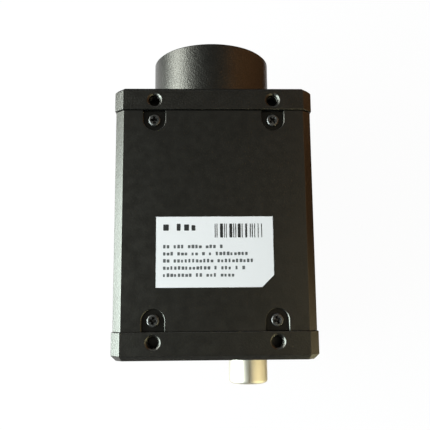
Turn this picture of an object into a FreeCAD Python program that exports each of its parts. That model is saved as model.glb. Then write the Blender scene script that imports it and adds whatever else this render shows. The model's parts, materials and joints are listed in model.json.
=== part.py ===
import FreeCAD, Part
import math
import os
import re
import Sketcher
from FreeCAD import Vector

# A machine vision camera with a square body, a round lens barrel in front, and an Ethernet jack and a round
# 12-pin connector behind. Lengths are in millimetres. The origin is the centre of the lens mount's flange face,
# +Y points out of the lens mount, +Z points to the label side and +X to the right, seen from behind.
# A station is a distance behind the flange face, so a piece at station 10 lies at Y = -10.

SIZES = {
    # body
    "plate_side": 62.0,                # front and rear plates are square
    "corner_cut": 2.8,                 # chamfer along the plates' four long edges
    "front_plate_thickness": 7.0,
    "front_edge_cut": 1.0,
    "rear_plate_thickness": 8.3,
    "rear_edge_cut": 1.5,
    "seam_edge_cut": 0.15,             # broken edge beside each seam
    "rear_wall": 3.0,
    "rear_rim": 7.0,                   # between the rear plate's sides and its cavity
    "shell_length": 68.1,
    "shell_step": 0.4,                 # the shell lies this much lower than the plates
    "shell_wall": 2.5,
    "shell_corner_cut": 2.6,
    "shell_inner_cut": 2.0,
    # lens barrel and mount
    "barrel_diameter": 41.2,
    "barrel_length": 19.6,
    "barrel_edge_cut": 0.4,
    "lens_thread_diameter": 25.4,
    "ring_diameter": 35.0,
    "ring_thickness": 4.6,
    "ring_play": 0.05,
    "spanner_slot_width": 1.6,
    "spanner_slot_length": 2.4,
    "spanner_slot_depth": 1.2,
    "recess_diameter": 27.0,           # room for the lens behind its thread
    "recess_depth": 11.4,
    "filter_web": 1.0,
    "filter_window": 18.6,
    "filter_side": 23.6,
    "filter_thickness": 1.1,
    "filter_gasket_bore": 19.4,
    "filter_gasket_thickness": 0.4,
    # image sensor
    "sensor_plane": 17.526,            # flange focal distance
    "die_side": 14.6,
    "die_thickness": 0.5,
    "die_depth": 1.1,                  # from the package's top down to the die's face
    "package_side": 23.0,
    "package_well_side": 16.0,
    "cover_glass_side": 17.8,
    "cover_glass_thickness": 0.7,
    "solder_height": 0.4,
    "sensor_chamber_play": 1.0,        # around the package
    "sensor_seal_play": 0.6,
    "sensor_seal_bore": 18.6,
    "front_wall": 1.4,                 # between the sensor board and the plate's front
    # circuit boards
    "board_thickness": 1.6,
    "sensor_board_inset": 4.1,         # from the standoffs' middle to the sensor board's edge
    "sensor_board_play": 0.3,
    "board_gap": 1.3,                  # between the other boards and the shell
    "board_corner_cut": 1.8,
    "link_width": 26.0,
    "link_height": 6.0,
    "link_inset": 3.0,                 # from the sensor board's lower edge to the links' middle
    "link_tongue_width": 22.0,
    "link_tongue_height": 2.0,
    "link_tongue_length": 3.0,
    "link_play": 0.1,
    "window_play": 1.0,
    "processor_side": 23.0,
    "processor_height": 2.6,
    "memory_width": 9.0,
    "memory_length": 13.0,
    "memory_height": 1.1,
    "memory_gap": 1.5,                 # between the processor and each memory chip
    "thermal_pad_side": 20.0,
    "thermal_pad_thickness": 1.0,
    "spreader_thickness": 2.0,
    "spreader_flange_length": 12.0,
    "spreader_flange_height": 28.0,
    "spreader_play": 0.1,              # between each flange and the shell
    "inductor_side": 7.3,
    "inductor_height": 4.0,
    "capacitor_width": 4.3,
    "capacitor_length": 7.3,
    "capacitor_height": 2.8,
    "network_chip_side": 9.0,
    "network_chip_height": 0.9,
    # standoffs and small screws
    "standoff_inset": 3.5,             # from the shell's walls
    "standoff_flats": 5.0,
    "stud_diameter": 2.5,
    "stud_grip": 3.0,
    "stud_hole_depth": 4.0,
    "thread_play": 0.05,
    "hole_play": 0.1,
    "sensor_screw_diameter": 1.6,
    "sensor_screw_inset": 3.5,         # from the sensor board's sides
    "sensor_screw_apart": 14.0,
    "sensor_screw_grip": 2.6,
    "sensor_screw_head": 3.0,
    "sensor_screw_head_height": 1.0,
    "board_screw_head": 4.4,
    "board_screw_head_height": 1.4,
    # shell screws and the lugs that they clamp
    "fastener_inset": 12.55,           # from the plates' sides, shell screws and mounting holes alike
    "shell_screw_inset": 3.3,          # from the seam
    "pocket_width": 6.8,
    "pocket_depth": 1.1,
    "screw_diameter": 2.0,
    "screw_length": 5.0,
    "screw_head_diameter": 3.8,
    "screw_head_height": 0.9,
    "cross_width": 2.2,
    "cross_arm": 0.6,
    "cross_depth": 0.5,
    "lug_width": 6.4,
    "lug_height": 6.0,
    "lug_length": 8.0,
    "lug_play": 0.1,
    "lug_hole_depth": 4.5,
    # mounting holes, tapped M4
    "mounting_hole_diameter": 3.3,
    "mounting_hole_mouth": 4.6,
    "mounting_hole_depth": 6.0,
    "mounting_hole_inset": 3.0,        # from the seam
    # seals between the shell and the plates
    "seal_width": 0.7,
    "seal_depth": 0.8,
    "seal_play": 0.05,
    # Ethernet jack
    "jack_place": -12.0,
    "jack_length": 25.4,
    "jack_width": 16.2,
    "jack_height": 13.6,
    "jack_sheet": 0.3,
    "jack_play": 0.2,
    "jack_recess": 0.3,
    "socket_width": 11.9,
    "socket_height": 6.9,
    "socket_depth": 13.0,
    "latch_width": 6.4,
    "latch_height": 1.9,
    "contact_width": 0.35,
    "contact_pitch": 1.02,
    "contact_thickness": 0.3,
    "contact_drop": 2.2,
    "contact_front": 1.4,              # from the socket's mouth to the contacts
    "contact_length": 7.5,
    "lock_screw_spacing": 24.3,
    "lock_screw_hole": 1.6,
    "lock_screw_depth": 2.4,
    # 12-pin connector
    "connector_place": 11.9,
    "connector_diameter": 13.2,
    "connector_length": 10.1,          # from the rear face
    "connector_bore": 10.8,
    "connector_bore_depth": 8.6,
    "connector_edge_cut": 0.8,
    "connector_neck_diameter": 11.0,
    "connector_neck_length": 5.6,
    "connector_neck_bore": 9.2,
    "connector_key_width": 0.5,
    "connector_key_depth": 0.3,
    "connector_nut_flats": 14.0,
    "connector_nut_thickness": 2.2,
    "insulator_tail_diameter": 8.8,
    "pin_diameter": 0.8,
    "pin_length": 4.2,                 # in the socket
    "pin_circle": 6.6,
    "pin_inner_circle": 2.8,
    # status light
    "light_inset": 12.0,               # from the rear plate's top
    "light_pipe_diameter": 2.9,
    "light_pipe_proud": 0.2,
    "led_width": 3.2,
    "led_height": 2.8,
    "led_thickness": 1.9,
    # rating label
    "label_width": 35.3,
    "label_length": 21.3,
    "label_cut": 3.6,
    "label_thickness": 0.15,
    "label_behind_seam": 44.5,         # from the front seam to the label's middle
}

FRONT_SEAM = "(barrel_length + front_plate_thickness)"
REAR_SEAM = f"({FRONT_SEAM} + shell_length)"
REAR_FACE = f"({REAR_SEAM} + rear_plate_thickness)"
SHELL_HALF = "(plate_side / 2 - shell_step)"
INNER_HALF = f"({SHELL_HALF} - shell_wall)"
LUG_TOP = f"({INNER_HALF} - lug_play)"
SCREW_SEAT = f"({SHELL_HALF} - pocket_depth)"
FASTENER_PLACE = "(plate_side / 2 - fastener_inset)"
FRONT_SCREWS = f"({FRONT_SEAM} + shell_screw_inset)"
REAR_SCREWS = f"({REAR_SEAM} - shell_screw_inset)"
PACKAGE_TOP = "(sensor_plane - die_depth)"
CHAMBER_SIDE = "(package_side + 2 * sensor_chamber_play)"
SENSOR_BOARD = "(barrel_length + front_wall)"
INTERFACE_BACK = f"({REAR_FACE} - jack_length)"
INTERFACE_BOARD = f"({INTERFACE_BACK} - board_thickness)"
STACK_PITCH = f"(({INTERFACE_BOARD} - {SENSOR_BOARD}) / 3)"
PROCESSOR_BOARD = f"({SENSOR_BOARD} + {STACK_PITCH})"
POWER_BOARD = f"({INTERFACE_BOARD} - {STACK_PITCH})"
SPREADER = f"({PROCESSOR_BOARD} + board_thickness + processor_height + thermal_pad_thickness)"
CHAMBER_FRONT = "(recess_depth + filter_web)"
FILTER = f"({CHAMBER_FRONT} + filter_gasket_thickness)"
SENSOR_SEAL = f"({FILTER} + filter_thickness)"
STANDOFF_PLACE = f"({INNER_HALF} - standoff_inset)"
BOARD_HALF = f"({INNER_HALF} - board_gap)"
SENSOR_BOARD_HALF = f"({STANDOFF_PLACE} - sensor_board_inset)"
SENSOR_SCREW_PLACE = f"({SENSOR_BOARD_HALF} - sensor_screw_inset)"
LINK_PLACE = f"(link_inset - {SENSOR_BOARD_HALF})"
LIGHT_PLACE = "(plate_side / 2 - light_inset)"
CONNECTOR_END = f"({REAR_FACE} + connector_length)"
CONNECTOR_FLOOR = f"({CONNECTOR_END} - connector_bore_depth)"

doc = FreeCAD.newDocument("machine_vision_camera")
sheet = doc.addObject("Spreadsheet::Sheet", "sizes")
for row, (name, number) in enumerate(SIZES.items(), start=1):
    sheet.set(f"A{row}", name.replace("_", " "))
    sheet.set(f"B{row}", str(number))
    sheet.setAlias(f"B{row}", name)
doc.recompute()

cuts = []


# ---- binding, sketches and features ----

def bind(item, place, formula):
    """Ties one property of an item to a formula of sizes in the sheet."""
    words = re.sub(r"[a-z][a-z0-9_]*", lambda word: f"sizes.{word.group()}", str(formula))
    item.setExpression(place, words)


def minus(formula):
    return f"-({formula})"


def datum(body, role):
    return next(item for item in body.Origin.OriginFeatures if item.Role == role)


def new_body(label):
    body = doc.addObject("PartDesign::Body", label)
    body.Label = label
    return body


def new_sketch(body, name, plane, height):
    """A sketch on an origin plane, raised along the plane's normal: -Y for XZ, +Z for XY and +X for YZ."""
    sketch = body.newObject("Sketcher::SketchObject", name)
    sketch.AttachmentSupport = [(datum(body, f"{plane}_Plane"), "")]
    sketch.MapMode = "FlatFace"
    bind(sketch, "AttachmentOffset.Base.z", height)
    return sketch


def place_point(sketch, curve, end, across, up):
    for kind, formula in (("DistanceX", across), ("DistanceY", up)):
        number = sketch.addConstraint(Sketcher.Constraint(kind, -1, 1, curve, end, 1.0))
        bind(sketch, f"Constraints[{number}]", formula)


def draw_outline(sketch, corners):
    """A closed outline of straight lines through corners, each a pair of formulas."""
    first = sketch.GeometryCount
    count = len(corners)
    turn = 2 * math.pi / count
    for i in range(count):
        start = Vector(math.cos(i * turn), math.sin(i * turn))
        finish = Vector(math.cos((i + 1) * turn), math.sin((i + 1) * turn))
        sketch.addGeometry(Part.LineSegment(start, finish))
    for i in range(count):
        following = first + (i + 1) % count
        sketch.addConstraint(Sketcher.Constraint("Coincident", first + i, 2, following, 1))
    for i, (across, up) in enumerate(corners):
        place_point(sketch, first + i, 1, across, up)


def draw_rectangle(sketch, width, height, across="0", up="0"):
    left, right = f"{across} - ({width}) / 2", f"{across} + ({width}) / 2"
    low, high = f"{up} - ({height}) / 2", f"{up} + ({height}) / 2"
    draw_outline(sketch, [(left, low), (right, low), (right, high), (left, high)])


def draw_cut_square(sketch, half, cut):
    """A square about the origin with its corners cut at 45 degrees."""
    corners = []
    for across, up in ((-1, -1), (1, -1), (1, 1), (-1, 1)):
        level = (f"{across} * ({half} - ({cut}))", f"{up} * ({half})")
        upright = (f"{across} * ({half})", f"{up} * ({half} - ({cut}))")
        corners += [upright, level] if across == up else [level, upright]
    draw_outline(sketch, corners)


def draw_circle(sketch, diameter, across="0", up="0"):
    curve = sketch.addGeometry(Part.Circle(Vector(1, 1, 0), Vector(0, 0, 1), 1.0))
    place_point(sketch, curve, 3, across, up)
    number = sketch.addConstraint(Sketcher.Constraint("Diameter", curve, 2.0))
    bind(sketch, f"Constraints[{number}]", diameter)


def draw_hexagon(sketch, flats, across="0", up="0"):
    """A hexagon of the given width across its flats, which face left and right."""
    flat, corner = f"({flats}) / 2", f"({flats}) / {math.sqrt(3):.6f}"
    corners = [(flat, f"{corner} / 2"), ("0", corner), (f"-{flat}", f"{corner} / 2"),
               (f"-{flat}", f"-{corner} / 2"), ("0", f"-{corner}"), (flat, f"-{corner} / 2")]
    draw_outline(sketch, [(f"{across} + {x}", f"{up} + {y}") for x, y in corners])


def draw_thread(sketch, diameter, across="0", up="0"):
    """The outline of a thread, pin or hole that the finished camera hides, drawn with six flats."""
    draw_hexagon(sketch, f"({diameter}) * {math.cos(math.pi / 6):.6f}", across, up)


def draw_four_threads(sketch, diameter, across, up):
    for side in (-1, 1):
        for level in (-1, 1):
            draw_thread(sketch, diameter, f"{side} * {across}", f"{level} * {up}")


def add_feature(body, kind, name, sketch, length=None, back=False):
    feature = body.newObject(f"PartDesign::{kind}", name)
    feature.Profile = sketch
    feature.Reversed = back
    if length is not None:
        bind(feature, "Length", length)
    return feature


def pad(body, name, sketch, length, back=False):
    """Adds along the sketch's normal, or against it if back."""
    return add_feature(body, "Pad", name, sketch, length, back)


def pocket(body, name, sketch, length, back=False):
    """Cuts against the sketch's normal, or along it if back."""
    feature = add_feature(body, "Pocket", name, sketch, length, back)
    cuts.append(feature)
    return feature


def turned(body, kind, name, sketch):
    """Turns a sketch in the YZ plane about its own horizontal axis."""
    feature = add_feature(body, kind, name, sketch)
    feature.ReferenceAxis = (sketch, ["H_Axis"])
    feature.Angle = 360
    if kind == "Groove":
        cuts.append(feature)
    return feature


def mirror_features(body, name, originals, plane="XY"):
    feature = body.newObject("PartDesign::Mirrored", name)
    feature.Originals = originals
    feature.MirrorPlane = (datum(body, f"{plane}_Plane"), [""])
    body.Tip = feature
    return feature


def draw_side_profile(sketch, corners):
    """Corners are pairs of station and height above the axis."""
    draw_outline(sketch, [(minus(station), radius) for station, radius in corners])


def edges_where(feature, wanted):
    doc.recompute()
    return [f"Edge{i}" for i, edge in enumerate(feature.Shape.Edges, start=1) if wanted(edge)]


def lies_at(edge, y):
    return all(abs(vertex.Point.y - y) < 1e-6 for vertex in edge.Vertexes)


def chamfer(body, name, base, edges, size):
    feature = body.newObject("PartDesign::Chamfer", name)
    feature.Base = (base, edges)
    bind(feature, "Size", size)
    body.Tip = feature
    return feature


# ---- plain pieces and groups ----

def box_piece(label, station, depth, width, height, across="0", up="0"):
    """A block whose front face is at the station, centred across and up."""
    box = doc.addObject("Part::Box", label)
    bind(box, "Length", width)
    bind(box, "Width", depth)
    bind(box, "Height", height)
    bind(box, "Placement.Base.x", f"{across} - ({width}) / 2")
    bind(box, "Placement.Base.y", f"-({station}) - ({depth})")
    bind(box, "Placement.Base.z", f"{up} - ({height}) / 2")
    return box


def group(label, items):
    compound = doc.addObject("Part::Compound", label)
    compound.Label = label
    compound.Links = items
    return compound


def mirrored(item, normal):
    copy = doc.addObject("Part::Mirroring", f"{item.Name}_mirrored")
    copy.Source = item
    copy.Normal = normal
    return copy


def group_of_two(label, item, normal=Vector(1, 0, 0)):
    return group(label, [item, mirrored(item, normal)])


def group_of_four(label, item):
    """The item and its mirror images left and right, above and below."""
    pair = group_of_two(f"{label}_pair", item)
    return group(label, [pair, mirrored(pair, Vector(0, 0, 1))])


# ---- housing ----

def add_screw_lugs(body, seam, screws, forward):
    """Four lugs inside the shell, tapped for the shell screws."""
    sketch = new_sketch(body, "lugs_sketch", "XZ", seam)
    for across in (-1, 1):
        for up in (-1, 1):
            draw_rectangle(sketch, "lug_width", "lug_height", f"{across} * {FASTENER_PLACE}",
                           f"{up} * ({LUG_TOP} - lug_height / 2)")
    pad(body, "lugs", sketch, "lug_length", back=forward)
    sketch = new_sketch(body, "lug_holes_sketch", "XY", LUG_TOP)
    for across in (-1, 1):
        draw_thread(sketch, "screw_diameter + 2 * thread_play", f"{across} * {FASTENER_PLACE}", minus(screws))
    holes = pocket(body, "lug_holes", sketch, "lug_hole_depth")
    return mirror_features(body, "lug_holes_below", [holes])


def add_mounting_holes(body, station):
    """Tapped mounting holes with a countersunk mouth, two in the top and two in the base."""
    sketch = new_sketch(body, "mounting_holes_sketch", "XY", "plate_side / 2")
    for across in (-1, 1):
        draw_circle(sketch, "mounting_hole_diameter", f"{across} * {FASTENER_PLACE}", minus(station))
    holes = body.newObject("PartDesign::Hole", "mounting_holes")
    holes.Profile = sketch
    doc.recompute()
    holes.ThreadType = "None"
    holes.DrillPoint = "Flat"
    holes.DepthType = "Dimension"
    holes.HoleCutType = "Countersink"
    holes.HoleCutCustomValues = True
    holes.HoleCutCountersinkAngle = 90
    bind(holes, "Diameter", "mounting_hole_diameter")
    bind(holes, "Depth", "mounting_hole_depth")
    bind(holes, "HoleCutDiameter", "mounting_hole_mouth")
    cuts.append(holes)
    return mirror_features(body, "mounting_holes_below", [holes])


def make_front_housing():
    """Front plate and barrel in one piece, bored for the mount ring and the lens, hollow behind."""
    body = new_body("front_housing")
    sketch = new_sketch(body, "plate_sketch", "XZ", "barrel_length")
    draw_cut_square(sketch, "plate_side / 2", "corner_cut")
    plate = pad(body, "plate", sketch, "front_plate_thickness")
    doc.recompute()
    front, back = plate.Shape.BoundBox.YMax, plate.Shape.BoundBox.YMin
    plate = chamfer(body, "front_edge", plate, edges_where(plate, lambda e: lies_at(e, front)),
                    "front_edge_cut")
    chamfer(body, "seam_edge", plate, edges_where(plate, lambda e: lies_at(e, back)), "seam_edge_cut")

    sketch = new_sketch(body, "barrel_sketch", "XZ", "0")
    draw_circle(sketch, "barrel_diameter")
    barrel = pad(body, "barrel", sketch, "barrel_length")
    chamfer(body, "barrel_edge", barrel, edges_where(barrel, lambda e: lies_at(e, 0)), "barrel_edge_cut")

    sketch = new_sketch(body, "bore_sketch", "YZ", "0")
    draw_side_profile(sketch, [
        ("0", "0"), ("0", "ring_diameter / 2"),
        ("ring_thickness", "ring_diameter / 2"), ("ring_thickness", "recess_diameter / 2"),
        ("recess_depth", "recess_diameter / 2"), ("recess_depth", "0"),
    ])
    turned(body, "Groove", "stepped_bore", sketch)

    sketch = new_sketch(body, "window_sketch", "XZ", CHAMBER_FRONT)
    draw_rectangle(sketch, "filter_window", "filter_window")
    pocket(body, "filter_window", sketch, "filter_web")

    sketch = new_sketch(body, "chamber_sketch", "XZ", SENSOR_BOARD)
    draw_rectangle(sketch, CHAMBER_SIDE, CHAMBER_SIDE)
    pocket(body, "sensor_chamber", sketch, f"{SENSOR_BOARD} - {CHAMBER_FRONT}")

    sketch = new_sketch(body, "board_recess_sketch", "XZ", FRONT_SEAM)
    recess = f"2 * ({SENSOR_BOARD_HALF} + sensor_board_play)"
    draw_rectangle(sketch, recess, recess)
    pocket(body, "board_recess", sketch, f"{FRONT_SEAM} - {SENSOR_BOARD}")

    sketch = new_sketch(body, "sensor_screw_holes_sketch", "XZ", SENSOR_BOARD)
    draw_four_threads(sketch, "sensor_screw_diameter + 2 * thread_play", SENSOR_SCREW_PLACE,
                      "sensor_screw_apart / 2")
    pocket(body, "sensor_screw_holes", sketch, "sensor_screw_grip + hole_play")

    sketch = new_sketch(body, "stud_holes_sketch", "XZ", FRONT_SEAM)
    draw_four_threads(sketch, "stud_diameter + 2 * thread_play", STANDOFF_PLACE, STANDOFF_PLACE)
    pocket(body, "stud_holes", sketch, "stud_hole_depth")

    add_screw_lugs(body, FRONT_SEAM, FRONT_SCREWS, forward=False)
    add_mounting_holes(body, f"({FRONT_SEAM} - mounting_hole_inset)")
    return body


def make_rear_plate():
    """Rear plate with a wide outer chamfer, hollow in front, with openings for both connectors."""
    body = new_body("rear_plate")
    sketch = new_sketch(body, "plate_sketch", "XZ", REAR_SEAM)
    draw_cut_square(sketch, "plate_side / 2", "corner_cut")
    plate = pad(body, "plate", sketch, "rear_plate_thickness")
    doc.recompute()
    front, back = plate.Shape.BoundBox.YMax, plate.Shape.BoundBox.YMin
    plate = chamfer(body, "rear_edge", plate, edges_where(plate, lambda e: lies_at(e, back)),
                    "rear_edge_cut")
    chamfer(body, "seam_edge", plate, edges_where(plate, lambda e: lies_at(e, front)), "seam_edge_cut")

    sketch = new_sketch(body, "cavity_sketch", "XZ", REAR_SEAM)
    draw_rectangle(sketch, "plate_side - 2 * rear_rim", "plate_side - 2 * rear_rim")
    pocket(body, "cavity", sketch, "rear_plate_thickness - rear_wall", back=True)

    sketch = new_sketch(body, "openings_sketch", "XZ", REAR_FACE)
    draw_rectangle(sketch, "jack_width + 2 * jack_play", "jack_height + 2 * jack_play", "jack_place")
    draw_circle(sketch, "connector_neck_diameter + 2 * hole_play", "connector_place")
    draw_circle(sketch, "light_pipe_diameter + 2 * hole_play", "0", LIGHT_PLACE)
    pocket(body, "openings", sketch, "rear_wall")

    sketch = new_sketch(body, "lock_holes_sketch", "XZ", REAR_FACE)
    for across in (-1, 1):
        draw_circle(sketch, "lock_screw_hole", f"jack_place + {across} * lock_screw_spacing / 2")
    pocket(body, "lock_holes", sketch, "lock_screw_depth")

    add_screw_lugs(body, REAR_SEAM, REAR_SCREWS, forward=True)
    add_mounting_holes(body, f"({REAR_SEAM} + mounting_hole_inset)")
    return body


def make_main_shell():
    """Square tube between the plates, with a screw pocket that opens onto the seam at each screw."""
    body = new_body("main_shell")
    sketch = new_sketch(body, "tube_sketch", "XZ", FRONT_SEAM)
    draw_cut_square(sketch, SHELL_HALF, "shell_corner_cut")
    draw_cut_square(sketch, INNER_HALF, "shell_inner_cut")
    pad(body, "tube", sketch, "shell_length")

    for end, station, back in (("front", FRONT_SEAM, True), ("rear", REAR_SEAM, False)):
        sketch = new_sketch(body, f"{end}_rebate_sketch", "XZ", station)
        draw_cut_square(sketch, f"({INNER_HALF} + seal_width)", "shell_inner_cut")
        pocket(body, f"{end}_rebate", sketch, "seal_depth", back=back)

    half_pockets = []
    for end, seam, screws in (("front", FRONT_SEAM, FRONT_SCREWS), ("rear", REAR_SEAM, REAR_SCREWS)):
        straight = new_sketch(body, f"{end}_pocket_sketch", "XY", SHELL_HALF)
        rounded = new_sketch(body, f"{end}_pocket_end_sketch", "XY", SHELL_HALF)
        through = new_sketch(body, f"{end}_screw_hole_sketch", "XY", SHELL_HALF)
        for side in (-1, 1):
            across = f"{side} * {FASTENER_PLACE}"
            draw_rectangle(straight, "pocket_width", "shell_screw_inset", across,
                           f"-({seam} + {screws}) / 2")
            draw_circle(rounded, "pocket_width", across, minus(screws))
            draw_thread(through, "screw_diameter + 2 * hole_play", across, minus(screws))
        half_pockets += [
            pocket(body, f"{end}_pocket", straight, "pocket_depth"),
            pocket(body, f"{end}_pocket_end", rounded, "pocket_depth"),
            pocket(body, f"{end}_screw_hole", through, "shell_wall"),
        ]
    mirror_features(body, "pockets_below", half_pockets)
    return body


def make_seal(label, station):
    """Cord seal in the rebate at one end of the shell."""
    body = new_body(label)
    sketch = new_sketch(body, "cord_sketch", "XZ", station)
    draw_cut_square(sketch, f"({INNER_HALF} + seal_width - seal_play)", "shell_inner_cut")
    draw_cut_square(sketch, INNER_HALF, "shell_inner_cut")
    pad(body, "cord", sketch, "seal_depth - seal_play")
    return body


def make_shell_screws(label, station):
    """Four low-head cross-recess screws, two in the top and two in the base."""
    screw = new_body(f"{label}_one")
    head = new_sketch(screw, "head_sketch", "XY", SCREW_SEAT)
    draw_circle(head, "screw_head_diameter", FASTENER_PLACE, minus(station))
    pad(screw, "head", head, "screw_head_height")
    shank = new_sketch(screw, "shank_sketch", "XY", SCREW_SEAT)
    draw_thread(shank, "screw_diameter", FASTENER_PLACE, minus(station))
    pad(screw, "shank", shank, "screw_length", back=True)
    cross = new_sketch(screw, "cross_sketch", "XY", f"{SCREW_SEAT} + screw_head_height")
    long, short = "cross_width / 2", "cross_arm / 2"
    corners = []
    for one, two in ((1, 1), (-1, 1), (-1, -1), (1, -1)):
        arm = [(f"{one} * {long}", f"{two} * {short}"), (f"{one} * {short}", f"{two} * {short}"),
               (f"{one} * {short}", f"{two} * {long}")]
        corners += arm if one == two else arm[::-1]
    draw_outline(cross, [(f"{FASTENER_PLACE} + {x}", f"-({station}) + {y}") for x, y in corners])
    pocket(screw, "cross", cross, "cross_depth")
    return group_of_four(label, screw)


def make_rating_label():
    """Thin label on the shell's top, with its rear right corner cut off."""
    body = new_body("rating_label")
    sketch = new_sketch(body, "label_sketch", "XY", SHELL_HALF)
    middle = f"({FRONT_SEAM} + label_behind_seam)"
    side, front, back = "label_width / 2", f"-{middle} + label_length / 2", f"-{middle} - label_length / 2"
    draw_outline(sketch, [
        (f"-{side}", front), (f"-{side}", back), (f"{side} - label_cut", back),
        (side, f"{back} + label_cut"), (side, front),
    ])
    pad(body, "label", sketch, "label_thickness")
    return body


# ---- lens mount, filter and image sensor ----

def make_lens_mount_ring():
    """Ring with the lens thread, flush with the barrel's front, slotted for a spanner."""
    body = new_body("lens_mount_ring")
    sketch = new_sketch(body, "ring_sketch", "XZ", "0")
    draw_circle(sketch, "ring_diameter - 2 * ring_play")
    draw_circle(sketch, "lens_thread_diameter")
    pad(body, "ring", sketch, "ring_thickness")
    sketch = new_sketch(body, "spanner_slots_sketch", "XZ", "0")
    for side in (-1, 1):
        draw_rectangle(sketch, "spanner_slot_length", "spanner_slot_width",
                       f"{side} * (ring_diameter - spanner_slot_length) / 2")
    pocket(body, "spanner_slots", sketch, "spanner_slot_depth", back=True)
    return body


def make_frame(label, station, thickness, outside, bore):
    """A flat square frame."""
    body = new_body(label)
    sketch = new_sketch(body, "frame_sketch", "XZ", station)
    draw_rectangle(sketch, outside, outside)
    draw_rectangle(sketch, bore, bore)
    pad(body, "frame", sketch, thickness)
    return body


def make_sensor_package():
    """Ceramic package with the well that holds the die, as thick as the barrel leaves it room for."""
    body = new_body("sensor_package")
    sketch = new_sketch(body, "package_sketch", "XZ", PACKAGE_TOP)
    draw_rectangle(sketch, "package_side", "package_side")
    pad(body, "package", sketch, f"{SENSOR_BOARD} - solder_height - {PACKAGE_TOP}")
    sketch = new_sketch(body, "well_sketch", "XZ", PACKAGE_TOP)
    draw_rectangle(sketch, "package_well_side", "package_well_side")
    pocket(body, "well", sketch, "die_depth + die_thickness", back=True)
    return body


def make_optics():
    return [
        make_lens_mount_ring(),
        make_frame("filter_gasket", CHAMBER_FRONT, "filter_gasket_thickness", "filter_side",
                   "filter_gasket_bore"),
        box_piece("filter_glass", FILTER, "filter_thickness", "filter_side", "filter_side"),
        make_frame("sensor_seal", SENSOR_SEAL, f"{PACKAGE_TOP} - {SENSOR_SEAL}",
                   f"{CHAMBER_SIDE} - 2 * sensor_seal_play", "sensor_seal_bore"),
        make_sensor_package(),
        box_piece("sensor_die", "sensor_plane", "die_thickness", "die_side", "die_side"),
        box_piece("sensor_cover_glass", f"{PACKAGE_TOP} - cover_glass_thickness", "cover_glass_thickness",
                  "cover_glass_side", "cover_glass_side"),
    ]


# ---- circuit boards ----

def make_board(label, station):
    """Square board with cut corners and a hole for the standoff in each."""
    body = new_body(label)
    sketch = new_sketch(body, "board_sketch", "XZ", station)
    draw_cut_square(sketch, BOARD_HALF, "board_corner_cut")
    draw_four_threads(sketch, "stud_diameter + 2 * hole_play", STANDOFF_PLACE, STANDOFF_PLACE)
    pad(body, "board", sketch, "board_thickness")
    return body


def make_sensor_board():
    body = new_body("sensor_board")
    sketch = new_sketch(body, "board_sketch", "XZ", SENSOR_BOARD)
    draw_rectangle(sketch, f"2 * {SENSOR_BOARD_HALF}", f"2 * {SENSOR_BOARD_HALF}")
    draw_four_threads(sketch, "sensor_screw_diameter + 2 * hole_play", SENSOR_SCREW_PLACE,
                      "sensor_screw_apart / 2")
    pad(body, "board", sketch, "board_thickness")
    return body


def make_board_screw(label, head_station, across, up, head, head_height, shank, length):
    """A hexagon-headed screw, driven from behind: its shank points forward from the station."""
    body = new_body(label)
    sketch = new_sketch(body, "head_sketch", "XZ", head_station)
    draw_hexagon(sketch, head, across, up)
    pad(body, "head", sketch, head_height)
    sketch = new_sketch(body, "shank_sketch", "XZ", head_station)
    draw_thread(sketch, shank, across, up)
    pad(body, "shank", sketch, length, back=True)
    return body


def make_board_links(label, side):
    """The three connectors on one side of each gap between boards: plugs have a tongue, sockets its slot."""
    half_gap = f"(({STACK_PITCH} - board_thickness) / 2)"
    start = f"({SENSOR_BOARD} + board_thickness)"
    middle = f"({start} + {half_gap})"
    body = new_body(label)
    body.AllowCompound = True
    sketch = new_sketch(body, "block_sketch", "XZ", start if side == "plug" else middle)
    draw_rectangle(sketch, "link_width", "link_height", up=LINK_PLACE)
    features = [pad(body, "block", sketch, half_gap)]
    sketch = new_sketch(body, "tongue_sketch", "XZ", middle)
    if side == "plug":
        draw_rectangle(sketch, "link_tongue_width", "link_tongue_height", up=LINK_PLACE)
        features.append(pad(body, "tongue", sketch, "link_tongue_length"))
    else:
        draw_rectangle(sketch, "link_tongue_width + 2 * link_play", "link_tongue_height + 2 * link_play",
                       up=LINK_PLACE)
        features.append(pocket(body, "slot", sketch, "link_tongue_length + link_play", back=True))
    row = body.newObject("PartDesign::LinearPattern", "row")
    row.Originals = features
    row.Direction = (datum(body, "Y_Axis"), [""])
    row.Reversed = True
    row.Occurrences = 3
    bind(row, "Length", f"2 * {STACK_PITCH}")
    body.Tip = row
    return body


def make_heat_spreader():
    """Plate clamped in the stack, with a window for the board link and a flange along each side wall."""
    body = new_body("heat_spreader")
    sketch = new_sketch(body, "plate_sketch", "XZ", SPREADER)
    draw_cut_square(sketch, BOARD_HALF, "board_corner_cut")
    draw_four_threads(sketch, "stud_diameter + 2 * hole_play", STANDOFF_PLACE, STANDOFF_PLACE)
    draw_rectangle(sketch, "link_width + 2 * window_play", "link_height + 2 * window_play", up=LINK_PLACE)
    pad(body, "plate", sketch, "spreader_thickness")
    sketch = new_sketch(body, "flanges_sketch", "XZ", SPREADER)
    reach = f"({INNER_HALF} - spreader_play)"
    for side in (-1, 1):
        draw_rectangle(sketch, "spreader_thickness", "spreader_flange_height",
                       f"{side} * ({reach} - spreader_thickness / 2)")
    pad(body, "flanges", sketch, "spreader_flange_length")
    return body


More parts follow.
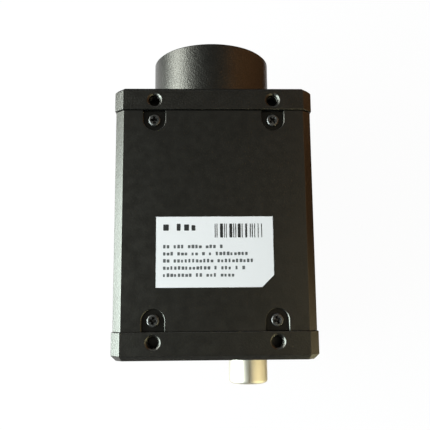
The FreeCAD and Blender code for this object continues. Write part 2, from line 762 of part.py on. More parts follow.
def make_standoffs(label, station, length, stud_length):
    """Four hexagonal standoffs, each with a stud in front and a tapped hole behind."""
    body = new_body(f"{label}_one")
    sketch = new_sketch(body, "hexagon_sketch", "XZ", station)
    draw_hexagon(sketch, "standoff_flats", STANDOFF_PLACE, STANDOFF_PLACE)
    pad(body, "hexagon", sketch, length)
    sketch = new_sketch(body, "stud_sketch", "XZ", station)
    draw_thread(sketch, "stud_diameter", STANDOFF_PLACE, STANDOFF_PLACE)
    pad(body, "stud", sketch, stud_length, back=True)
    sketch = new_sketch(body, "tapped_hole_sketch", "XZ", f"{station} + {length}")
    draw_thread(sketch, "stud_diameter + 2 * thread_play", STANDOFF_PLACE, STANDOFF_PLACE)
    pocket(body, "tapped_hole", sketch, "stud_hole_depth")
    return group_of_four(label, body)


def make_board_spacers():
    """Hexagonal sleeves between the processor board and the heat spreader."""
    body = new_body("board_spacers_one")
    sketch = new_sketch(body, "sleeve_sketch", "XZ", f"{PROCESSOR_BOARD} + board_thickness")
    draw_hexagon(sketch, "standoff_flats", STANDOFF_PLACE, STANDOFF_PLACE)
    draw_thread(sketch, "stud_diameter + 2 * hole_play", STANDOFF_PLACE, STANDOFF_PLACE)
    pad(body, "sleeve", sketch, "processor_height + thermal_pad_thickness")
    return group_of_four("board_spacers", body)


def make_board_stack():
    behind_processor = f"({PROCESSOR_BOARD} + board_thickness)"
    behind_power = f"({POWER_BOARD} + board_thickness)"
    spreader_back = f"({SPREADER} + spreader_thickness)"
    through_spreader = f"{spreader_back} - {PROCESSOR_BOARD} + stud_grip"
    memory_chip = box_piece("memory_chips_one", behind_processor, "memory_height", "memory_width",
                            "memory_length", "(processor_side + memory_width) / 2 + memory_gap")
    inductor = box_piece("inductors_one", behind_power, "inductor_height", "inductor_side", "inductor_side",
                         "-inductor_side", "inductor_side")
    capacitor = box_piece("capacitors_one", behind_power, "capacitor_height", "capacitor_length",
                          "capacitor_width", "1.5 * capacitor_length", "capacitor_width")
    sensor_screw = make_board_screw(
        "sensor_board_screws_one", f"({SENSOR_BOARD} + board_thickness)", SENSOR_SCREW_PLACE,
        "sensor_screw_apart / 2", "sensor_screw_head", "sensor_screw_head_height",
        "sensor_screw_diameter", "board_thickness + sensor_screw_grip")
    interface_screw = make_board_screw(
        "interface_board_screws_one", INTERFACE_BACK, STANDOFF_PLACE, STANDOFF_PLACE,
        "board_screw_head", "board_screw_head_height", "stud_diameter", "board_thickness + stud_grip")
    return [
        make_sensor_board(),
        group_of_four("sensor_board_screws", sensor_screw),
        make_board_links("board_link_plugs", "plug"),
        make_board_links("board_link_sockets", "socket"),
        make_board("processor_board", PROCESSOR_BOARD),
        box_piece("processor_chip", behind_processor, "processor_height", "processor_side", "processor_side"),
        group_of_two("memory_chips", memory_chip),
        box_piece("thermal_pad", f"{behind_processor} + processor_height", "thermal_pad_thickness",
                  "thermal_pad_side", "thermal_pad_side"),
        make_heat_spreader(),
        make_board_spacers(),
        make_standoffs("front_standoffs", FRONT_SEAM, f"({PROCESSOR_BOARD} - {FRONT_SEAM})", "stud_grip"),
        make_standoffs("middle_standoffs", spreader_back, f"({POWER_BOARD} - {spreader_back})",
                       through_spreader),
        make_standoffs("rear_standoffs", behind_power, f"({INTERFACE_BOARD} - {behind_power})",
                       "board_thickness + stud_grip"),
        make_board("power_board", POWER_BOARD),
        group_of_two("inductors", inductor, Vector(0, 0, 1)),
        group_of_two("capacitors", capacitor, Vector(0, 0, 1)),
        make_board("interface_board", INTERFACE_BOARD),
        box_piece("network_chip", f"{INTERFACE_BOARD} - network_chip_height", "network_chip_height",
                  "network_chip_side", "network_chip_side", "jack_place", "0"),
        group_of_four("interface_board_screws", interface_screw),
    ]


# ---- connectors and status light ----

def make_jack_shell():
    """Sheet-metal can of the Ethernet jack, open at the rear."""
    body = new_body("jack_shell")
    sketch = new_sketch(body, "can_sketch", "XZ", INTERFACE_BACK)
    draw_rectangle(sketch, "jack_width", "jack_height", "jack_place")
    draw_rectangle(sketch, "jack_width - 2 * jack_sheet", "jack_height - 2 * jack_sheet", "jack_place")
    pad(body, "can", sketch, f"{REAR_FACE} - {INTERFACE_BACK}")
    return body


def make_jack_insert():
    """Moulded block inside the can, with the plug's socket and its latch channel."""
    body = new_body("jack_insert")
    sketch = new_sketch(body, "block_sketch", "XZ", INTERFACE_BACK)
    draw_rectangle(sketch, "jack_width - 2 * jack_sheet", "jack_height - 2 * jack_sheet", "jack_place")
    mouth = f"({REAR_FACE} - jack_recess)"
    pad(body, "block", sketch, f"{mouth} - {INTERFACE_BACK}")
    sketch = new_sketch(body, "socket_sketch", "XZ", mouth)
    wide, narrow = "socket_width / 2", "latch_width / 2"
    high, low, floor = "socket_height / 2", "-socket_height / 2", "-socket_height / 2 - latch_height"
    corners = [(f"-{narrow}", floor), (narrow, floor), (narrow, low), (wide, low), (wide, high),
               (f"-{wide}", high), (f"-{wide}", low), (f"-{narrow}", low)]
    draw_outline(sketch, [(f"jack_place + {x}", y) for x, y in corners])
    pocket(body, "socket", sketch, "socket_depth")
    return body


def make_jack_contacts():
    """Eight spring contacts that slope down into the socket from its roof."""
    body = new_body("jack_contacts")
    body.AllowCompound = True
    outermost = "3.5 * contact_pitch"
    sketch = new_sketch(body, "contact_sketch", "YZ", f"jack_place - {outermost} - contact_width / 2")
    roof = "socket_height / 2"
    front = f"({REAR_FACE} - jack_recess - contact_front)"
    back = f"({front} - contact_length)"
    draw_side_profile(sketch, [
        (front, roof), (front, f"{roof} - contact_thickness"), (back, f"{roof} - contact_drop"),
        (f"{back} + contact_thickness", f"{roof} - contact_drop + 1.2 * contact_thickness"),
        (f"{front} - 2 * contact_thickness", roof),
    ])
    contact = pad(body, "contact", sketch, "contact_width")
    row = body.newObject("PartDesign::LinearPattern", "row")
    row.Originals = [contact]
    row.Direction = (datum(body, "X_Axis"), [""])
    row.Occurrences = 8
    bind(row, "Length", "7 * contact_pitch")
    body.Tip = row
    return body


def make_power_connector_shell():
    """Plated shell of the 12-pin connector, with a broken rim and a key groove along its top."""
    body = new_body("power_connector_shell")
    sketch = new_sketch(body, "shell_sketch", "YZ", "connector_place")
    neck_end = f"({REAR_FACE} - connector_neck_length)"
    outer, neck = "connector_diameter / 2", "connector_neck_diameter / 2"
    draw_side_profile(sketch, [
        (neck_end, "connector_neck_bore / 2"), (neck_end, neck), (REAR_FACE, neck), (REAR_FACE, outer),
        (CONNECTOR_END, outer), (CONNECTOR_END, "connector_bore / 2"),
        (CONNECTOR_FLOOR, "connector_bore / 2"), (CONNECTOR_FLOOR, "connector_neck_bore / 2"),
    ])
    shell = turned(body, "Revolution", "shell", sketch)
    doc.recompute()
    end = shell.Shape.BoundBox.YMin
    widest = max(edge.BoundBox.XLength for edge in shell.Shape.Edges)
    rim = edges_where(shell, lambda e: lies_at(e, end) and abs(e.BoundBox.XLength - widest) < 1e-6)
    chamfer(body, "rim", shell, rim, "connector_edge_cut")
    sketch = new_sketch(body, "key_sketch", "XZ", CONNECTOR_END)
    draw_rectangle(sketch, "connector_key_width", "2 * connector_key_depth", "connector_place", outer)
    pocket(body, "key_groove", sketch, "connector_length")
    return body


def make_power_connector_nut():
    body = new_body("power_connector_nut")
    back = f"({REAR_FACE} - rear_wall)"
    sketch = new_sketch(body, "nut_sketch", "XZ", f"{back} - connector_nut_thickness")
    draw_hexagon(sketch, "connector_nut_flats", "connector_place")
    draw_hexagon(sketch, "connector_neck_diameter + 2 * thread_play", "connector_place")
    pad(body, "nut", sketch, "connector_nut_thickness")
    return body


def draw_pins(sketch, diameter):
    """Nine pins on the outer circle and three on the inner one, clear of the key at the top."""
    for count, circle in ((9, "pin_circle"), (3, "pin_inner_circle")):
        for i in range(count):
            angle = math.radians(90 + 360 / count * (i + 0.5))
            draw_thread(sketch, diameter, f"connector_place + {math.cos(angle):.6f} * {circle} / 2",
                        f"{math.sin(angle):.6f} * {circle} / 2")


def make_power_connector_insulator():
    """Moulded carrier of the pins, from the socket's floor down to the interface board."""
    body = new_body("power_connector_insulator")
    sketch = new_sketch(body, "carrier_sketch", "XZ", INTERFACE_BACK)
    draw_circle(sketch, "insulator_tail_diameter", "connector_place")
    draw_pins(sketch, "pin_diameter")
    pad(body, "carrier", sketch, f"{CONNECTOR_FLOOR} - {INTERFACE_BACK}")
    return body


def make_power_connector_pins():
    body = new_body("power_connector_pins")
    body.AllowCompound = True
    sketch = new_sketch(body, "pins_sketch", "XZ", INTERFACE_BACK)
    draw_pins(sketch, "pin_diameter")
    pad(body, "pins", sketch, f"{CONNECTOR_FLOOR} + pin_length - {INTERFACE_BACK}")
    return body


def make_status_light_pipe():
    """Clear rod from the LED to the rear face."""
    body = new_body("status_light_pipe")
    start = f"({INTERFACE_BACK} + led_thickness)"
    sketch = new_sketch(body, "pipe_sketch", "XZ", start)
    draw_circle(sketch, "light_pipe_diameter", "0", LIGHT_PLACE)
    pad(body, "pipe", sketch, f"{REAR_FACE} + light_pipe_proud - {start}")
    return body


def make_connectors():
    return [
        make_jack_shell(),
        make_jack_insert(),
        make_jack_contacts(),
        make_power_connector_shell(),
        make_power_connector_nut(),
        make_power_connector_insulator(),
        make_power_connector_pins(),
        box_piece("status_led", INTERFACE_BACK, "led_thickness", "led_width", "led_height", "0", LIGHT_PLACE),
        make_status_light_pipe(),
    ]


pieces = [
    make_front_housing(),
    make_main_shell(),
    make_rear_plate(),
    make_seal("front_gasket", FRONT_SEAM),
    make_seal("rear_gasket", f"({REAR_SEAM} - seal_depth + seal_play)"),
    make_shell_screws("front_shell_screws", FRONT_SCREWS),
    make_shell_screws("rear_shell_screws", REAR_SCREWS),
    make_rating_label(),
]
pieces += make_optics() + make_board_stack() + make_connectors()
doc.recompute()

# Every object has to be sound, and every cut has to have taken something away, before a file is written.
for item in doc.Objects:
    if "Invalid" in item.State or "Error" in item.State:
        raise RuntimeError(f"{item.Label} failed: {item.State}")
for cut in cuts:
    if cut.BaseFeature.Shape.Volume - cut.Shape.Volume < 1e-3:
        raise RuntimeError(f"{cut.Label} of {cut.getParentGeoFeatureGroup().Label} cuts nothing")
for piece in pieces:
    if piece.Shape.isNull() or not piece.Shape.isValid():
        raise RuntimeError(f"{piece.Label} has no sound shape")

os.makedirs("parts", exist_ok=True)
for piece in pieces:
    piece.Shape.exportStep(os.path.join("parts", f"{piece.Label}.step"))
    print(f"{piece.Label}: {len(piece.Shape.Solids)} solids, {piece.Shape.Volume:.1f} mm3")
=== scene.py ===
"""Looks of a machine vision camera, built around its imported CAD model."""
import bmesh
import bpy
import json
import math
import random
from bpy.props import FloatProperty, FloatVectorProperty, IntProperty, PointerProperty
from contextlib import contextmanager
from mathutils import Matrix, Vector


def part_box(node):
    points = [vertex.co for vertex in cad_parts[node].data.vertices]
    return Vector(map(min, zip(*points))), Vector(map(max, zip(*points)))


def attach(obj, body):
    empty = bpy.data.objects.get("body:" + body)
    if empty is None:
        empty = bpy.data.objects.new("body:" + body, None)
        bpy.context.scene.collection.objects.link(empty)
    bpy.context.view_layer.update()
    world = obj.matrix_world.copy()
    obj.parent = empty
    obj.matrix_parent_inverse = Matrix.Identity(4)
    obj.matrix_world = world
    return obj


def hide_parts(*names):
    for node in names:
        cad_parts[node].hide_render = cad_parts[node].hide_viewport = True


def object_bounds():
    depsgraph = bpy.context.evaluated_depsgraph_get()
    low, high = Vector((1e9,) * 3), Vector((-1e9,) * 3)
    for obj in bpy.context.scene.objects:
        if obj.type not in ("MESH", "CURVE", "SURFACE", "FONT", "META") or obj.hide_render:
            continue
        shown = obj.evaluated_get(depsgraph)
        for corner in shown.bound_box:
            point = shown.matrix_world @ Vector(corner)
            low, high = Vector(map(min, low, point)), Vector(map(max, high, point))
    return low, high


bl_info = {
    "name": "Machine Vision Camera",
    "version": (1, 0, 0),
    "blender": (4, 5, 0),
    "location": "3D View > Sidebar > Vision Camera",
    "description": "Finishes and fine parts of a machine vision camera, with its studio",
    "category": "Add Mesh",
}

# The frame is in metres. Its origin is the centre of the lens mount's flange face. +Y points out of the
# mount, +Z to the label side, and +X to the right, seen from behind.
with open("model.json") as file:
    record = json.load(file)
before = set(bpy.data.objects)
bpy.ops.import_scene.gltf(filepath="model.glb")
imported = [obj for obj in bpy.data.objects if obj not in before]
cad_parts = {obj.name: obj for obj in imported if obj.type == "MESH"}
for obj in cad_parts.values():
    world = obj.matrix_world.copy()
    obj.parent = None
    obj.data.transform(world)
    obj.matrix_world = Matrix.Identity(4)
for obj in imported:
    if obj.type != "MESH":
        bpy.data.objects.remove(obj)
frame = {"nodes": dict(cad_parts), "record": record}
cad_box = [list(corner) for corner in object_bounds()]
MM = 0.001
UP = Vector((0, 0, 1))
BACKWARDS = Vector((0, -1, 0))
NEAR = 1e-5                 # metres within which an edge counts as lying on a face
EXACT = 1e-6                # metres within which two places are the same
ROUND = 2e-5                # metres within which a point lies on a circle

# What tells the housing's edges and faces apart.
SIDE_BAND = 0.0035          # width of the band along the shell's corners, in from its sides
SEAM_BAND = 0.0003          # edges of the plates that are nearer a seam than this stay sharp
POCKET_REACH = 0.009        # the screw pockets end within this of the seams
POCKET_FLOOR = 0.0009       # the pockets are a little deeper than this

THREAD_CORNER = 0.42        # radius of a thread's three-cornered ridge, as a share of its pitch
THREAD_START = 0.0014       # from the plates' faces to the first turn in a mounting hole

# The label's marks stand for print and say nothing. They fill even lines between its margins: a heading and a
# field of bars side by side on the first lines, and rows of small marks on the rest.
LABEL_MARGIN = 0.1          # share of the label's length
LABEL_LINES = 8
HEADING_LINES = 3
BAR_WIDTHS = (0.25, 0.3, 0.6, 0.9)      # millimetres
BAR_GAPS = (0.3, 0.45, 0.8)             # millimetres

# Shell screws
SCREW_ANGLES = {"front_shell_screws": (4, 43), "rear_shell_screws": (-8, 20)}   # degrees, left and right
LOWER_SCREW_TURN = 31       # degrees by which those under the base are turned further
SHANK_RADIUS = 0.00095
SHANK_LENGTH = 0.0045
HEAD_ROUNDING = 0.0005
RECESS_FLOOR = (0.35, 0.3, 1)           # size of the recess's floor, as shares of its mouth

# Studio
ROOM_RADIUS = 3.0
ROOM_HEIGHT = 1.1
PAPER_GLOW = 0.97           # share of plain white that the camera and reflections see in the paper
CARD_FADE = 0.095           # metres over which a card's front tone passes into its rear tone
CAMERA_PLACE = (-4.77, -86.93, 203.78)  # millimetres
CAMERA_TURNS = (8.86, -1.60, -0.22)     # degrees about X, Y and Z


# ---- what a user would change ----

def length(name, description, default):
    return FloatProperty(name=name, description=description, default=default, min=0, precision=5,
                         unit="LENGTH")


def colour(name, description, default):
    return FloatVectorProperty(name=name, description=description, default=default, min=0, max=1,
                               subtype="COLOR")


class VisionCameraSizes(bpy.types.PropertyGroup):
    edge_radius: length("Edge radius", "Rounding of the housing's machined edges", 0.00014)
    front_gap: length("Front seam", "Open gap between the front housing and the shell", 0.00024)
    rear_gap: length("Rear seam", "Open gap between the shell and the rear plate", 0.0001)
    pocket_chamfer: length("Pocket chamfer", "Chamfer on the screw pockets' upper edges", 0.0002)
    screw_head_height: length("Screw head height", "Height of the shell screws' heads", 0.0009)
    recess_width: length("Recess width", "Width across the cross recess of a shell screw", 0.0025)
    recess_arm: length("Recess arm", "Width of each arm of the cross recess", 0.0009)
    recess_depth: length("Recess depth", "Depth of the cross recess", 0.0015)
    lens_thread_radius: length("Lens thread radius", "Radius of the lens mount's thread", 0.0127)
    lens_thread_pitch: length("Lens thread pitch", "32 turns to the inch", 0.00079375)
    hole_pitch: length("Mounting thread pitch", "Pitch of the M4 mounting holes", 0.0007)
    hole_radius: length("Mounting hole radius", "Radius of the tapped mounting holes", 0.00165)
    rim_radius: length("Connector rim radius", "Rounding of the round connector's outer rim", 0.0011)
    connector_bore: length("Connector bore", "Radius of the round connector's socket", 0.0054)
    connector_bore_depth: length("Connector socket depth", "Depth of the round connector's socket", 0.0086)
    connector_neck: length("Connector neck", "Radius of the neck that goes through the rear plate", 0.0055)
    connector_neck_length: length("Connector neck length", "Length of the neck inside the rear face", 0.0056)
    connector_neck_bore: length("Connector neck bore", "Radius of the bore through the neck", 0.0046)
    pin_radius: length("Pin radius", "Radius of the round connector's pins", 0.0004)
    ink_thickness: length("Ink thickness", "Thickness of the print on the label", 0.00001)


class VisionCameraColours(bpy.types.PropertyGroup):
    anodising: colour("Anodising", "Reflection of the matt black housing", (0.100, 0.097, 0.086))
    dust: colour("Dust", "Stray specks on the housing", (0.22, 0.21, 0.19))
    screw: colour("Screws", "Blackened steel of the shell screws", (0.13, 0.127, 0.12))
    nickel: colour("Nickel", "Plating of the round connector", (0.74, 0.70, 0.60))
    label: colour("Label", "White film of the label", (0.77, 0.74, 0.74))
    bold_ink: colour("Bold ink", "Darkest print on the label", (0.014, 0.014, 0.014))
    ink: colour("Ink", "Small print on the label", (0.09, 0.092, 0.092))
    board: colour("Boards", "Solder mask of the circuit boards", (0.012, 0.075, 0.035))
    filter: colour("Filter", "Tint of the filter glass", (0.60, 0.86, 0.82))
    card_front: colour("Card in front", "Studio card to the right of the lens", (0.14, 0.055, 0.016))
    card_rear: colour("Card behind", "Studio card to the right of the connectors", (0.70, 0.57, 0.35))
    card_dark: colour("Dark cards", "Studio cards in front and behind", (0.012, 0.011, 0.01))


class VisionCameraStudio(bpy.types.PropertyGroup):
    window_power: FloatProperty(name="Window", description="Power of the soft light from the left",
                                default=11.9, min=0, unit="POWER")
    front_power: FloatProperty(name="Front window", description="Power of the soft light from the left front",
                               default=1.7, min=0, unit="POWER")
    upper_power: FloatProperty(name="Upper window", description="Power of the dimmer light above the window",
                               default=0.9, min=0, unit="POWER")
    fill_power: FloatProperty(name="Fill", description="Power of the soft light from in front",
                              default=0.25, min=0, unit="POWER")
    warm_power: FloatProperty(name="Warm light", description="Power of the warm light from the upper right",
                              default=0.24, min=0, unit="POWER")
    sky: FloatProperty(name="Sky", description="Strength of the even light from all round",
                       default=0.11, min=0)
    focal_length: FloatProperty(name="Focal length", description="Focal length in millimetres",
                                default=48.4, min=1)
    seed: IntProperty(name="Seed", description="Start of the random choices", default=7, min=0)


def sizes():
    return bpy.context.scene.vision_camera_sizes


def colours():
    return bpy.context.scene.vision_camera_colours


def studio():
    return bpy.context.scene.vision_camera_studio


# ---- selecting and editing ----

def select_only(*pieces):
    bpy.ops.object.select_all(action="DESELECT")
    for piece in pieces:
        piece.select_set(True)
    bpy.context.view_layer.objects.active = pieces[0]


@contextmanager
def editing(piece):
    select_only(piece)
    bpy.ops.object.mode_set(mode="EDIT")
    yield
    bpy.ops.object.mode_set(mode="OBJECT")


def pick(piece, kind, wanted):
    """Selects, in edit mode, just those faces or edges for which wanted is true."""
    bpy.ops.mesh.select_mode(type=kind)
    bpy.ops.mesh.select_all(action="DESELECT")
    mesh = bmesh.from_edit_mesh(piece.data)
    chosen = [item for item in (mesh.faces if kind == "FACE" else mesh.edges) if wanted(item)]
    if not chosen:
        raise RuntimeError(f"{piece.name}: nothing to select")
    for item in chosen:
        item.select_set(True)
    bmesh.update_edit_mesh(piece.data)


def facing(direction, place):
    """A test for faces with this normal whose plane goes through the place."""
    return lambda face: (face.normal.dot(direction) > 0.999
                         and abs((face.calc_center_median() - place).dot(direction)) < EXACT)


def around(axis_place, radius, y):
    """A test for edges on the circle of this radius about a Y axis, at this y."""
    def wanted(edge):
        reaches = [math.hypot(vertex.co.x - axis_place.x, vertex.co.z - axis_place.z) for vertex in edge.verts]
        return (all(abs(vertex.co.y - y) < EXACT for vertex in edge.verts)
                and all(abs(reach - radius) < ROUND for reach in reaches))
    return wanted


def middle_of(edge):
    return (edge.verts[0].co + edge.verts[1].co) / 2


def is_sharp(edge, degrees=25):
    return edge.is_manifold and edge.calc_face_angle() > math.radians(degrees)


def bevel_edges(piece, wanted, radius, segments=2):
    with editing(piece):
        pick(piece, "EDGE", wanted)
        bpy.ops.mesh.bevel(offset=radius, segments=segments, profile=0.5, affect="EDGES")


def extrude(offset):
    bpy.ops.mesh.extrude_region_move(TRANSFORM_OT_translate={"value": offset})


def apply_modifier(piece, kind, **settings):
    select_only(piece)
    modifier = piece.modifiers.new(kind.lower(), kind)
    for name, value in settings.items():
        setattr(modifier, name, value)
    bpy.ops.object.modifier_apply(modifier=modifier.name)


def newest(name):
    piece = bpy.context.active_object
    piece.name = name
    select_only(piece)
    bpy.ops.object.transform_apply(location=True, rotation=True, scale=True)
    return piece


def add_cylinder(name, place, radius, depth, axis=BACKWARDS, vertices=48):
    """A cylinder that starts at the place and runs along the axis."""
    bpy.ops.object.select_all(action="DESELECT")
    turn = UP.rotation_difference(axis).to_euler()
    bpy.ops.mesh.primitive_cylinder_add(vertices=vertices, radius=radius, depth=depth,
                                        location=place + axis * (depth / 2), rotation=turn)
    return newest(name)


def add_box(name, low, high):
    bpy.ops.object.select_all(action="DESELECT")
    bpy.ops.mesh.primitive_cube_add(size=1, location=(low + high) / 2, scale=high - low)
    return newest(name)


def cut_away(piece, cutter):
    apply_modifier(piece, "BOOLEAN", operation="DIFFERENCE", solver="EXACT", object=cutter)
    bpy.data.objects.remove(cutter)


def copy_of(piece, name, transform):
    """A copy with its own mesh, moved within it."""
    mesh = piece.data.copy()
    mesh.transform(transform)
    copy = bpy.data.objects.new(name, mesh)
    bpy.context.collection.objects.link(copy)
    return copy


def join(name, pieces):
    select_only(*pieces)
    bpy.ops.object.join()
    piece = bpy.context.active_object
    piece.name = name
    return piece


def copy_node(node, name):
    """A copy of a CAD node's mesh, with its triangles merged into whole faces."""
    piece = copy_of(frame["nodes"][node], name, Matrix())
    select_only(piece)
    bpy.ops.mesh.customdata_custom_splitnormals_clear()
    with editing(piece):
        bpy.ops.mesh.select_all(action="SELECT")
        bpy.ops.mesh.remove_doubles(threshold=EXACT)
        bpy.ops.mesh.dissolve_limited(angle_limit=math.radians(0.4))
    return piece


def complete(piece, finish, slot, *nodes):
    """Gives a new piece its finish, and puts it in the place of CAD nodes."""
    piece.data.materials.clear()
    piece.data.materials.append(finish)
    select_only(piece)
    bpy.ops.object.shade_smooth_by_angle(angle=math.radians(32))
    apply_modifier(piece, "WEIGHTED_NORMAL", keep_sharp=True, weight=100)
    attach(piece, "root")
    if nodes:
        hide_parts(*nodes)


def finish_nodes(finish, *nodes):
    """Gives CAD nodes that stay as they are a finish."""
    for name in nodes:
        mesh = frame["nodes"][name].data
        mesh.materials.clear()
        mesh.materials.append(finish)


# ---- finishes ----

class Finish:
    """A material in the making: a Principled shader whose patterns are laid out in the object's own space."""

    def __init__(self, name, **constants):
        self.material = bpy.data.materials.new(name)
        self.material.use_nodes = True
        self.tree = self.material.node_tree
        self.shader = self.tree.nodes["Principled BSDF"]
        self.place = self.add("ShaderNodeTexCoord").outputs["Object"]
        for socket, value in constants.items():
            self.set(socket.replace("_", " "), value)

    def add(self, kind, **settings):
        node = self.tree.nodes.new(kind)
        for name, value in settings.items():
            setattr(node, name, value)
        return node

    def set(self, socket, value):
        """Puts a constant or another node's output on one of the shader's sockets."""
        self.feed(self.shader.inputs[socket], value)

    def feed(self, entry, value):
        if isinstance(value, bpy.types.NodeSocket):
            self.tree.links.new(value, entry)
        elif hasattr(value, "__len__") and len(value) == 3 and len(entry.default_value) == 4:
            entry.default_value = (*value, 1)
        else:
            entry.default_value = value

    def noise(self, scale, detail=2, stretch=(1, 1, 1)):
        mapping = self.add("ShaderNodeMapping")
        self.feed(mapping.inputs["Vector"], self.place)
        self.feed(mapping.inputs["Scale"], stretch)
        node = self.add("ShaderNodeTexNoise")
        self.feed(node.inputs["Vector"], mapping.outputs["Vector"])
        self.feed(node.inputs["Scale"], scale)
        self.feed(node.inputs["Detail"], detail)
        return node.outputs["Fac"]

    def math(self, operation, one, other):
        node = self.add("ShaderNodeMath", operation=operation)
        self.feed(node.inputs[0], one)
        self.feed(node.inputs[1], other)
        return node.outputs["Value"]

    def spread(self, factor, low, high, start=0.3, end=0.7):
        """Maps a pattern's middle range onto low to high."""
        node = self.add("ShaderNodeMapRange")
        for name, value in (("Value", factor), ("From Min", start), ("From Max", end),
                            ("To Min", low), ("To Max", high)):
            self.feed(node.inputs[name], value)
        return node.outputs["Result"]

    def blend(self, factor, low, high):
        node = self.add("ShaderNodeMix", data_type="RGBA")
        colours_in = [entry for entry in node.inputs if entry.type == "RGBA"]
        self.feed(node.inputs["Factor"], factor)
        self.feed(colours_in[0], low)
        self.feed(colours_in[1], high)
        return next(exit for exit in node.outputs if exit.type == "RGBA")

    def multiply(self, one, other):
        node = self.add("ShaderNodeVectorMath", operation="MULTIPLY")
        self.feed(node.inputs[0], one)
        self.feed(node.inputs[1], other)
        return node.outputs["Vector"]

    def specks(self, spacing, radius, share):
        """1 on sparse specks, else 0: cells of the given spacing, of which only a share holds a speck."""
        cells = self.add("ShaderNodeTexVoronoi")
        self.feed(cells.inputs["Vector"], self.place)
        self.feed(cells.inputs["Scale"], 1 / spacing)
        split = self.add("ShaderNodeSeparateColor")
        self.feed(split.inputs["Color"], cells.outputs["Color"])
        near = self.math("LESS_THAN", cells.outputs["Distance"], radius / spacing)
        return self.math("MULTIPLY", near, self.math("LESS_THAN", split.outputs["Red"], share))

    def bump(self, height, strength, distance):
        node = self.add("ShaderNodeBump")
        for name, value in (("Height", height), ("Strength", strength), ("Distance", distance)):
            self.feed(node.inputs[name], value)
        self.set("Normal", node.outputs["Normal"])


def shaded(colour_in, factor):
    return tuple(min(1.0, channel * factor) for channel in colour_in)


def anodised_finish(name, grain, contrast, painted_shade_box=None):
    """Blasted, dyed aluminium: nearly black, with a fine grain, and scattered dust and nicks.

    Where a half width and half height are given, faces nearer the middle than these, the screw pockets' floors
    among them, are a deeper black: painted shade.
    """
    finish = Finish(name, Metallic=1.0)
    base = colours().anodising
    patches = finish.blend(finish.noise(60, 3), shaded(base, 0.93), shaded(base, 1.07))
    pits = finish.noise(1900, 3)
    body = finish.multiply(patches, finish.spread(pits, 0.81 - contrast, 0.81 + contrast, 0.35, 0.65))
    if painted_shade_box:
        split = finish.add("ShaderNodeSeparateXYZ")
        finish.feed(split.inputs["Vector"], finish.place)
        tests = [finish.math("LESS_THAN", finish.math("ABSOLUTE", split.outputs[axis], 0.0), half)
                 for axis, half in zip("XZ", painted_shade_box)]
        # Painted shade: faces inside the box, the screw pockets' floors among them, are darkened to 0.55 of
        # the finish.
        painted_pocket_shade = finish.multiply(body, (0.55, 0.55, 0.55))
        body = finish.blend(finish.math("MULTIPLY", *tests), body, painted_pocket_shade)
    dust, nicks = finish.specks(0.003, 0.0001, 0.06), finish.specks(0.006, 0.0002, 0.1)
    finish.set("Base Color", finish.blend(finish.math("MAXIMUM", dust, nicks), body, colours().dust))
    finish.set("Roughness", finish.spread(finish.noise(400, 3), 0.31, 0.37))
    finish.bump(pits, 1.0, grain)
    return finish.material


def plated_finish(name, base, roughness):
    """Plated metal with faint lengthwise wear."""
    finish = Finish(name, Metallic=1.0)
    finish.set("Base Color", finish.blend(finish.noise(350, 4), shaded(base, 0.92), base))
    wear = finish.noise(700, 2, (1, 0.3, 1))
    finish.set("Roughness", finish.spread(wear, roughness * 0.93, roughness * 1.07))
    finish.bump(finish.noise(3000, 2, (1, 0.1, 1)), 0.08, 0.00003)
    return finish.material


def turned_finish(name, base, roughness):
    """Bright metal with fine rings from turning about the Y axis."""
    finish = Finish(name, Metallic=1.0)
    rings = finish.add("ShaderNodeTexWave", wave_type="RINGS", rings_direction="Y")
    finish.feed(rings.inputs["Vector"], finish.place)
    for socket, value in (("Scale", 2600.0), ("Distortion", 1.5), ("Detail", 3.0), ("Detail Scale", 0.2)):
        finish.feed(rings.inputs[socket], value)
    finish.set("Base Color", finish.blend(rings.outputs["Fac"], shaded(base, 0.9), base))
    finish.set("Roughness", finish.spread(rings.outputs["Fac"], roughness * 0.9, roughness * 1.1, 0, 1))
    finish.bump(rings.outputs["Fac"], 0.3, 0.00001)
    return finish.material


def moulded_finish(name, base, roughness, grain=0.2, scale=2500):
    """Moulded plastic, rubber, ceramic or epoxy with a fine matt grain."""
    finish = Finish(name)
    finish.set("Base Color", finish.blend(finish.noise(250, 3), shaded(base, 0.8), shaded(base, 1.2)))
    finish.set("Roughness", finish.spread(finish.noise(600, 2), roughness * 0.85, roughness * 1.15))
    finish.bump(finish.noise(scale, 2), grain, 0.00004)
    return finish.material


def glass_finish(name, tint, roughness=0.02):
    """Clear glass or plastic with a slight unevenness."""
    finish = Finish(name, Transmission_Weight=0.92)
    finish.set("Base Color", finish.blend(finish.noise(120, 2), tint, shaded(tint, 0.94)))
    finish.set("Roughness", finish.spread(finish.noise(500, 2), roughness, roughness * 2.5))
    return finish.material


def board_finish():
    """Solder mask over a pattern of traces, with pale pads."""
    finish = Finish("solder_mask")
    base = colours().board
    traces = finish.add("ShaderNodeTexBrick", offset=0.5, squash=0.6)
    finish.feed(traces.inputs["Vector"], finish.place)
    for name, value in (("Scale", 180.0), ("Mortar Size", 0.03)):
        finish.feed(traces.inputs[name], value)
    mask = finish.blend(traces.outputs["Fac"], base, shaded(base, 1.9))
    pads = finish.specks(0.0012, 0.0002, 0.3)
    finish.set("Base Color", finish.blend(pads, mask, (0.62, 0.60, 0.52)))
    finish.set("Metallic", pads)
    finish.set("Roughness", finish.spread(finish.noise(800, 2), 0.3, 0.42))
    finish.bump(traces.outputs["Fac"], 0.3, 0.00003)
    return finish.material


# ---- the camera's pieces ----

